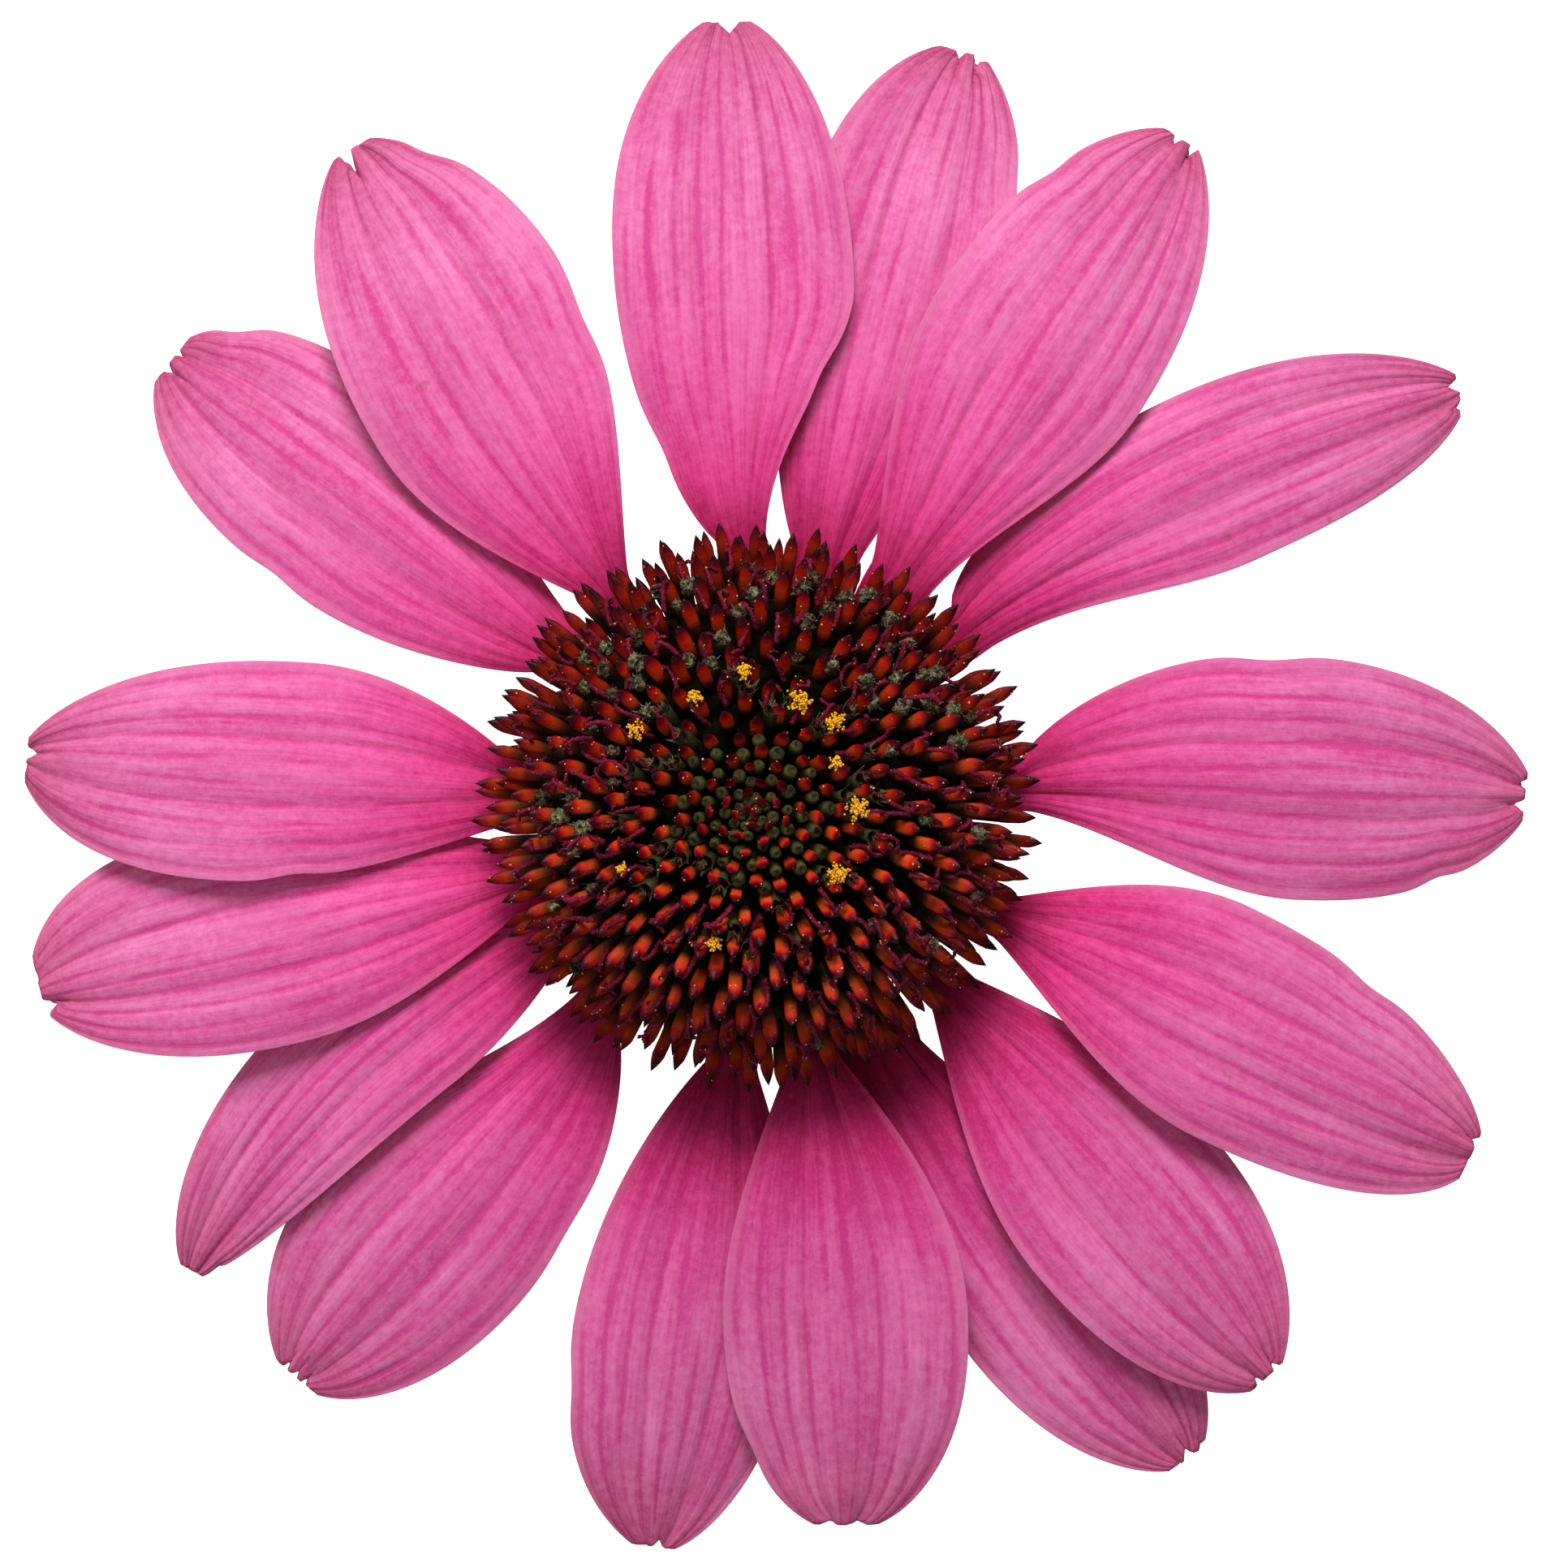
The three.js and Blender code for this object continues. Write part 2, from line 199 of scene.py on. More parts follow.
def node(tree, kind, inputs=(), **settings):
    """The outputs of a new node. settings are its own options; each input is a wire or a value."""
    new = tree.nodes.new(kind)
    for name, value in settings.items():
        setattr(new, name, value)
    for key, value in dict(inputs).items():
        if isinstance(value, Wire):
            tree.links.new(value.socket, new.inputs[key])
        else:
            new.inputs[key].default_value = value
    return [Wire(socket) for socket in new.outputs]


def paint(red, green, blue):
    """A colour for a socket, from the 0 to 255 values that a screen shows."""
    linear = [((value / 255 + 0.055) / 1.055) ** 2.4 if value > 10 else value / 255 / 12.92
              for value in (red, green, blue)]
    return (*linear, 1)


def mixed(tree, factor, first, second, blend="MIX"):
    """Two colours mixed by a factor. A colour is a wire, or red, green and blue."""
    first, second = (value if isinstance(value, Wire) else paint(*value) for value in (first, second))
    inputs = {0: factor, 6: first, 7: second}
    return node(tree, "ShaderNodeMix", inputs, data_type="RGBA", blend_type=blend)[2]


TINT = "MULTIPLY"


def coated(tree, colour, *coats):
    """A colour under others, each as how much of it, and it. A third word TINT makes it a filter."""
    for factor, *coat in coats:
        colour = mixed(tree, factor, colour, *coat)
    return colour


def ramp(tree, factor, stops):
    """A colour ramp with stops as place, red, green and blue."""
    outputs = node(tree, "ShaderNodeValToRGB", {"Fac": factor})
    elements = outputs[0].socket.node.color_ramp.elements
    while len(elements) < len(stops):
        elements.new(0.5)
    for element, (place, *colour) in zip(elements, stops):
        element.position = place
        element.color = paint(*colour)
    return outputs[0]


def noise(tree, place, scale, detail=3.0, rough=0.5):
    """A noise value from 0 to 1, with scale in waves a metre on a place in metres."""
    inputs = {"Vector": place, "Scale": scale, "Detail": detail, "Roughness": rough}
    return node(tree, "ShaderNodeTexNoise", inputs)[0]


def new_material(name, **values):
    """A material whose Principled shader has these constants, with its tree and shader."""
    material = bpy.data.materials.new(name)
    material.use_nodes = True
    shader = material.node_tree.nodes["Principled BSDF"]
    for key, value in values.items():
        shader.inputs[key.replace("_", " ")].default_value = value
    return material, material.node_tree, shader


def finish(tree, shader, colour, height=None, depth=0.0, roughness=None):
    """Joins colour, bumps as deep as depth in mm, and roughness to a shader."""
    tree.links.new(colour.socket, shader.inputs["Base Color"])
    if roughness:
        tree.links.new(roughness.socket, shader.inputs["Roughness"])
    if height:
        bump = node(tree, "ShaderNodeBump", {"Height": height, "Distance": depth * MM, "Strength": 1.0})
        tree.links.new(bump[0].socket, shader.inputs["Normal"])


def attributes(tree, *names):
    """The values of named attributes of the mesh."""
    return [node(tree, "ShaderNodeAttribute", attribute_name=name)[2] for name in names]


def object_place(tree):
    """The place on the object, in metres."""
    return node(tree, "ShaderNodeTexCoord")[3]


def plant_skin():
    """A group that gives plant tissue its cell grain, blotches and small brown specks."""
    tree = bpy.data.node_groups.new("plant_skin", "ShaderNodeTree")
    tree.interface.new_socket("Vector", in_out="INPUT", socket_type="NodeSocketVector")
    for name, value in (("Grain Scale", 4000.0), ("Blotch Scale", 300.0), ("Speck Scale", 900.0)):
        socket = tree.interface.new_socket(name, in_out="INPUT", socket_type="NodeSocketFloat")
        socket.default_value = value
    for name in ("Grain", "Blotch", "Speck"):
        tree.interface.new_socket(name, in_out="OUTPUT", socket_type="NodeSocketFloat")
    place, grain, blotch, speck = node(tree, "NodeGroupInput")[:4]
    node(tree, "NodeGroupOutput", {
        "Grain": noise(tree, place, grain, 3.0, 0.7),
        "Blotch": noise(tree, place, blotch, 4.0, 0.6).soft(0.35, 0.65),
        "Speck": noise(tree, place, speck, 2.0, 0.5).soft(0.74, 0.79),
    })
    return tree


skin_group = plant_skin()


def skin(tree, place, **scales):
    """Grain, blotch and speck values of plant tissue at a place."""
    group = tree.nodes.new("ShaderNodeGroup")
    group.node_tree = skin_group
    tree.links.new(place.socket, group.inputs["Vector"])
    for key, value in scales.items():
        group.inputs[f"{key} Scale"].default_value = value
    return [Wire(socket) for socket in group.outputs]


def stem_green_material():
    """Matt green skin, darker in the furrows and browner where the stem was cut."""
    material, tree, shader = new_material("stem_green", Roughness=0.55, Subsurface_Weight=0.05,
                                          Subsurface_Scale=0.001)
    grain, blotch, speck = skin(tree, object_place(tree), Grain=3200.0, Blotch=260.0)
    crest, height = attributes(tree, "crest", "height")
    colour = coated(
        tree, mixed(tree, crest, FURROW_GREEN, CREST_GREEN),
        (blotch * 0.5, STEM_BLOTCH),
        (height.soft(*NECK_Z, 0.0, 0.45), NECK_GREEN),
        (height.soft(*CUT_Z, 0.85, 0.0), CUT_TAN),
        (speck * 0.7, STEM_SPECK),
        (grain.soft(0.35, 0.7, 0.0, 0.25), STEM_BLOOM))
    finish(tree, shader, colour, grain + 0.4 * blotch, 0.05)
    return material


def stem_mesh():
    """The stem's profile turned about the middle axis, with low ribs along it."""
    _, radius, height = fine_profile(STEM_PROFILE, STEM_STEPS)
    turn = around(STEM_SIDES)
    crest = (0.5 + 0.5 * np.cos(RIBS * turn)) ** 2
    fading = smooth(height, RIBS_TO - RIBS_FADE, RIBS_TO)
    ribbed = smooth(height, RIBS_FROM, RIBS_FROM + RIBS_RISE) * (1 - fading)
    wide = radius[:, None] + RIB_HIGH * (crest - 1)[None] * ribbed[:, None]
    mesh = loft("stem_end", turned(turn, zip(wide, height)), height=height)
    attach(mesh, "crest", np.concatenate([np.outer(ribbed, crest).ravel(), [0, 0]]))
    return in_metres(mesh)


piece("stem_end", stem_mesh(), stem_green_material(), "stem_and_bracts")


# BRACTS
# Three whorls of narrow green leaves under the petals, overlapping and bent back, each stiff,
# keeled below and fringed with short pale bristles. They grow out of the receptacle's underside.
# each whorl's path has the root, bend and tip of a bract, as distance from the middle axis and height
WHORLS = [
    dict(count=14, turn=6.0, width=3.6, path=[(10.6, 7.8), (14.4, 8.7), (17.2, 5.2)]),
    dict(count=12, turn=19.0, width=3.6, path=[(8.4, 6.4), (12.4, 7.3), (15.4, 3.5)]),
    dict(count=9, turn=2.0, width=3.2, path=[(5.8, 5.0), (9.8, 5.8), (12.4, 2.3)]),
]
BRACT_THICK, BRACT_TIP = 0.62, 0.1
EDGE_THINNER, TIP_THINNER = 0.6, 0.5  # shares by which a bract thins out
BRACT_ROOT, BRACT_WIDEST, BRACT_POINT = 0.62, 0.35, 2.2
EDGES_UP, KEEL_HIGH, KEEL_HALF = 0.35, 0.12, 0.18
FRINGE_ACROSS, FRINGE_ALONG = (0.8, 0.95), (0.1, 0.25)  # where the bristles begin
BRACT_ROWS, BRACT_COLUMNS = 26, 13
DEGREE = math.radians(1)
BRACT_STRAY, BRACT_SIZE = 3.0, 0.06  # degrees out of line, and share of size, either way
BRISTLE_LONG, BRISTLE_HALF, BRISTLE_BEND, BRISTLE_TAPER = 0.85, 0.035, 0.15, 0.9
BRISTLES_A_MM2, BRISTLE_LEAN = 5.0, 0.5
SHAPES_DRAWN = 1000.0  # a large number, to draw one of the shapes by
SOCKET_KINDS = {int: "Int", float: "Float"}  # kinds of a tree's inputs, by what their first values are
BRACT_COLOURS = [(0.0, 122, 140, 70), (0.35, 82, 106, 44), (0.8, 58, 82, 34), (1.0, 64, 48, 34)]
PALE_VEIN, KEEL_GREEN, PURPLE_EDGE = (122, 142, 78), (148, 164, 98), (92, 60, 52)
OLD_BRACT, BRACT_BLOTCH, BRACT_SPECK = (104, 118, 52), (58, 74, 36), (62, 38, 30)
BRISTLE_ROOT, BRISTLE_PALE, BRISTLE_TAN = (150, 160, 110), (222, 220, 196), (190, 150, 130)


def unit(vectors):
    """The same directions with length 1."""
    return vectors / np.linalg.norm(vectors, axis=-1, keepdims=True)


def arc(t, start, control, end):
    """Places at shares of a curve that a control point bends, and its direction there."""
    t = t[..., None]
    place = (1 - t) ** 2 * start + 2 * t * (1 - t) * control + t**2 * end
    return place, unit((1 - t) * (control - start) + t * (end - control))


def blade(name, top, under, **values):
    """A closed blade between two grids of points in mm, with attributes that are given on the grid."""
    rows, columns, _ = top.shape
    count = rows * columns
    grid = np.arange(count).reshape(rows, columns)
    a, b, c, d = grid[:-1, :-1], grid[:-1, 1:], grid[1:, 1:], grid[1:, :-1]
    faces = np.stack([a, d, c, b], -1).reshape(-1, 4)
    rim = np.concatenate([grid[0, :-1], grid[:-1, -1], grid[-1, :0:-1], grid[:0:-1, 0]])
    after = np.roll(rim, -1)
    walls = np.stack([rim, after, after + count, rim + count], -1)
    faces = np.concatenate([faces, faces[:, ::-1] + count, walls])
    mesh = new_mesh(name, np.concatenate([top.reshape(-1, 3), under.reshape(-1, 3)]), faces.tolist())
    for key, value in values.items():
        attach(mesh, key, np.tile(value.ravel(), 2))
    attach(mesh, "under", np.repeat([0.0, 1.0], count))
    return mesh


def bract_mesh(number, width, path):
    """One bract of a whorl, pointing along +X from the middle axis."""
    s, u = np.meshgrid(np.linspace(0, 1, BRACT_ROWS), np.linspace(-1, 1, BRACT_COLUMNS), indexing="ij")
    place, slope = arc(s, *np.array(path))
    swell = np.sin(math.pi / 2 * np.minimum(1, s / BRACT_WIDEST))
    half = width / 2 * (BRACT_ROOT + (1 - BRACT_ROOT) * swell) * (1 - s**BRACT_POINT) + BRACT_TIP
    lift = EDGES_UP * np.abs(u) * (1 - s)
    thick = BRACT_THICK / 2 * (1 - EDGE_THINNER * np.abs(u) ** 3) * (1 - TIP_THINNER * s**3)
    sheet = []
    for side in (1, -1):
        keel = KEEL_HIGH * np.exp(-((u / KEEL_HALF) ** 2)) * (side == -1)
        off = side * (thick + keel)
        radius, height = place[..., 0] - slope[..., 1] * off, place[..., 1] + slope[..., 0] * off + lift
        sheet.append(np.stack([radius, u * half, height], -1))
    fringe = smooth(np.abs(u), *FRINGE_ACROSS) * smooth(s, *FRINGE_ALONG)
    return blade(f"bract_{number}", *sheet, across=(u + 1) / 2, along=s, fringe=fringe)


def new_tree(name, **sockets):
    """A tree of geometry nodes with inputs of these names and first values or kinds, and their wires."""
    tree = bpy.data.node_groups.new(name, "GeometryNodeTree")
    sockets = {"Shapes": "Collection", "Material": "Material", **sockets}
    for key, value in sockets.items():
        kind = SOCKET_KINDS.get(type(value), value)
        title = key.replace("_", " ")
        socket = tree.interface.new_socket(title, in_out="INPUT", socket_type=f"NodeSocket{kind}")
        if kind != value:
            socket.default_value = value
    tree.interface.new_socket("Geometry", in_out="OUTPUT", socket_type="NodeSocketGeometry")
    return tree, dict(zip(sockets, node(tree, "NodeGroupInput")))


def chance(tree, seed, number, low=0.0, high=1.0):
    """A random value for each point, from the tree's seed and a number of its own."""
    return node(tree, "FunctionNodeRandomValue", {2: low, 3: high, 8: seed + number}, data_type="FLOAT")[1]


def either_way(tree, seed, number):
    """A random value from -1 to 1 for each point."""
    return chance(tree, seed, number, -1.0, 1.0)


def keep(tree, points, name, value):
    """The points with a value stored on them, which their copies then carry."""
    return node(tree, "GeometryNodeStoreNamedAttribute", {0: points, 2: name, 3: value}, data_type="FLOAT")[0]


def kept_value(tree, name):
    """A value that the points or faces carry."""
    return node(tree, "GeometryNodeInputNamedAttribute", {0: name}, data_type="FLOAT")[0]


def carrier_mesh(tree, carrier):
    """The mesh of an object that is an input."""
    return node(tree, "GeometryNodeObjectInfo", {0: carrier, 1: False})[4]


def vector(tree, x=0.0, y=0.0, z=0.0):
    """A vector of three wires or values."""
    return node(tree, "ShaderNodeCombineXYZ", {0: x, 1: y, 2: z})[0]


def planted(tree, given, points, rotation, scale, chosen=True):
    """The tree, ended with real copies of its shapes, one drawn for each point, in its material."""
    shapes = node(tree, "GeometryNodeCollectionInfo", {0: given["Shapes"], 1: True, 2: True})[0]
    which = (chance(tree, given["Seed"], 9) * SHAPES_DRAWN).floor()
    inputs = {0: points, 1: chosen, 2: shapes, 3: True, 4: which, 5: rotation, 6: scale}
    copies = node(tree, "GeometryNodeInstanceOnPoints", inputs)[0]
    real = node(tree, "GeometryNodeRealizeInstances", {0: copies})[0]
    real = node(tree, "GeometryNodeSetMaterial", {0: real, 2: given["Material"]})[0]
    node(tree, "NodeGroupOutput", {0: real})
    return tree


def whorl_tree():
    """Shapes set round the middle axis, each a little out of line."""
    tree, given = new_tree("whorl", Count=12, Turn=0.0, Stray=3.0, Size_Spread=0.05, Seed=1)
    seed = given["Seed"]
    points = node(tree, "GeometryNodePoints", {0: given["Count"]})[0]
    points = keep(tree, points, "chance", chance(tree, seed, 0))
    index = node(tree, "GeometryNodeInputIndex")[0]
    stray = given["Stray"] * DEGREE
    turn = index / given["Count"] * FULL_TURN + given["Turn"] * DEGREE
    turn = turn + stray * either_way(tree, seed, 1)
    nod = stray * chance(tree, seed, 2, -0.5, 0.5)
    size = 1.0 + given["Size_Spread"] * either_way(tree, seed, 3)
    return planted(tree, given, points, vector(tree, 0.0, nod, turn), vector(tree, size, size, 1.0))


def bristle_tree():
    """Shapes that stand on a carrier's faces where its attribute fringe is set."""
    tree, given = new_tree("bristles", Carrier="Object", Density=4.0, Lean=0.5, Size_Spread=0.4, Seed=1)
    seed = given["Seed"]
    inputs = {0: carrier_mesh(tree, given["Carrier"]), 1: kept_value(tree, "fringe").above(0.5),
              4: given["Density"], 6: seed}
    spread = node(tree, "GeometryNodeDistributePointsOnFaces", inputs)
    points = keep(tree, spread[0], "chance", chance(tree, seed, 0))
    lean = vector(tree, *(given["Lean"] * either_way(tree, seed, number) for number in (1, 2)),
                  chance(tree, seed, 3, 0.0, 6.3))
    rotation = node(tree, "FunctionNodeRotateRotation", {0: spread[2], 1: lean}, rotation_space="LOCAL")[0]
    size = 1.0 + given["Size_Spread"] * either_way(tree, seed, 4)
    return planted(tree, given, points, rotation, vector(tree, size, size, size))


def grown(name, tree, shapes, material, **values):
    """The plain mesh that a tree makes of these shapes, in mm. Its inputs are set by their identifiers."""
    tray = bpy.data.collections.new(f"{name}_shapes")
    bpy.context.scene.collection.children.link(tray)
    for number, mesh in enumerate(shapes):
        tray.objects.link(bpy.data.objects.new(f"{name}_shape_{number}", mesh))
    carrier = placed(name, bpy.data.meshes.new(name))
    modifier = carrier.modifiers.new(name, "NODES")
    modifier.node_group = tree
    given = {"Shapes": tray, "Material": material}
    given.update({key.replace("_", " "): value for key, value in values.items()})
    for socket in tree.interface.items_tree:
        if socket.in_out == "INPUT" and socket.name in given:
            value = given[socket.name]
            modifier[socket.identifier] = float(value) if socket.socket_type == "NodeSocketFloat" else value
    graph = bpy.context.evaluated_depsgraph_get()
    mesh = bpy.data.meshes.new_from_object(carrier.evaluated_get(graph), depsgraph=graph)
    mesh.name = name
    carrier.modifiers.remove(modifier)
    for helper in (*tray.objects, carrier):
        bpy.data.objects.remove(helper)
    bpy.data.collections.remove(tray)
    return mesh


def bristle_shape(sides=3, steps=3):
    """A thin curved bristle that points along +Z."""
    share = np.linspace(0, 1, steps + 1)
    spots = zip(BRISTLE_HALF * (1 - BRISTLE_TAPER * share), BRISTLE_LONG * share)
    rings = np.array(turned(around(sides), spots))
    rings[..., 0] += BRISTLE_BEND * BRISTLE_LONG * share[:, None] ** 2
    return loft("bristle", rings, along=share)


def bract_material():
    """Green with a pale keel, darker and purple towards the bent tip, paler at the root."""
    material, tree, shader = new_material("bract_green", Roughness=0.5, Subsurface_Weight=0.05,
                                          Subsurface_Scale=0.001)
    grain, blotch, speck = skin(tree, object_place(tree), Grain=3000.0, Blotch=380.0)
    along, across, tone = attributes(tree, "along", "across", "chance")
    veins = noise(tree, vector(tree, across * 16.0, along * 2.0, tone * 30.0), 1.0, 3.0)
    off = abs(across - 0.5)
    colour = coated(
        tree, ramp(tree, along, BRACT_COLOURS),
        (tone * 0.4, OLD_BRACT),
        (veins.soft(0.42, 0.68, 0.0, 0.5), PALE_VEIN),
        (off.soft(0.0, 0.06, 0.5, 0.0), KEEL_GREEN),
        (off.soft(0.42, 0.5, 0.0, 0.5), PURPLE_EDGE),
        (blotch * 0.3, BRACT_BLOTCH),
        (speck * 0.6, BRACT_SPECK))
    finish(tree, shader, colour, veins + 0.5 * grain, 0.06)
    return material


def bristle_material():
    """Pale, slightly glassy hair, greener at its root."""
    material, tree, shader = new_material("bristle_pale", Roughness=0.35)
    along, tone = attributes(tree, "along", "chance")
    colour = coated(tree, mixed(tree, along, BRISTLE_ROOT, BRISTLE_PALE), (tone * 0.4, BRISTLE_TAN))
    finish(tree, shader, colour)
    return material


whorl = whorl_tree()
bract_green = bract_material()
bract_meshes = [
    grown(f"whorl_{number}", whorl, [bract_mesh(number, one["width"], one["path"])], bract_green,
          Count=one["count"], Turn=one["turn"], Stray=BRACT_STRAY, Size_Spread=BRACT_SIZE, Seed=40 + number)
    for number, one in enumerate(WHORLS)
]
bracts = piece("bracts", joined("bracts", bract_meshes), bract_green, "stem_and_bracts")
bristles = grown("bract_bristles", bristle_tree(), [bristle_shape()], bristle_material(), Carrier=bracts,
                 Density=BRISTLES_A_MM2, Lean=BRISTLE_LEAN, Seed=11)
in_metres(bracts.data)
piece("bract_bristles", in_metres(bristles), bristles.materials[0], "stem_and_bracts")


# RAY FLORETS
# The sixteen pink "petals": each is one strap-shaped floret, a thin velvety blade that narrows to
# a claw under the cone. Veins run from claw to tip with two deeper grooves, the tip is toothed,
# and the underside is paler. Each claw sits against the rim of the receptacle.
RAY_ROOT_R, RAY_ROOT_Z = 13.0, 10.3
TIP_REACH, CLOSING = 1.014, 2.3  # where the outline would close, past the toothed end, and how roundly
CLAW_END = 0.15  # length of the claw, as a share of the blade
ROOT_HALF, CLAW_HALF = 1.6, 1.9
CROWN, CROWN_AT, DROOP_FROM = 1.2, 0.45, 0.2  # a blade climbs a little, then droops
CLAW_LIFT = 0.45  # share of a ray's lift at its claw
FLAT_CLAW = (0.02, 0.22)  # where a blade begins to open out of its flat claw
CAMBER, FULL_HALF = 0.9, 8.5  # the edges of a full blade lie below its middle
GROOVE_DEEP, GROOVE_AT, GROOVE_WIDE = 0.28, 1 / 3, 0.16
WAVE_HIGH, WAVE_TURNS = 0.3, 9.0
BLADE_THICK, CLAW_THICK, THIN_FROM, EDGE_SHARE = 0.34, 0.7, 0.25, 0.45
VEINS, FINE_VEINS = 10.0, 30.0  # across a blade
VEIN_RELIEF, SWELL_RELIEF, SWELLS = 0.03, 0.17, 4
VEIN_DRIFT = 0.016  # how far the veins wander, as a share of the width
DRIFTS = [(3, 1.2, 0.5), (8, 7, 0.3), (15, 16, 0.22), (28, 30, 0.13)]  # turns along and across, and share
NOTCHED_FROM = 0.93
RELIEF_RISES, RELIEF_FADES, FADE_BY = (0.05, 0.3), (0.9, 1), 0.6  # along a blade, and how far it fades
ROWS, COLUMNS = 84, 64
TIP_CROWDING, EDGE_CROWDING = 0.4, 1.48  # how much the rows crowd at the tip, the columns at the edges
NEARBY = 1e-4  # a small step on the blade, to find which way it faces

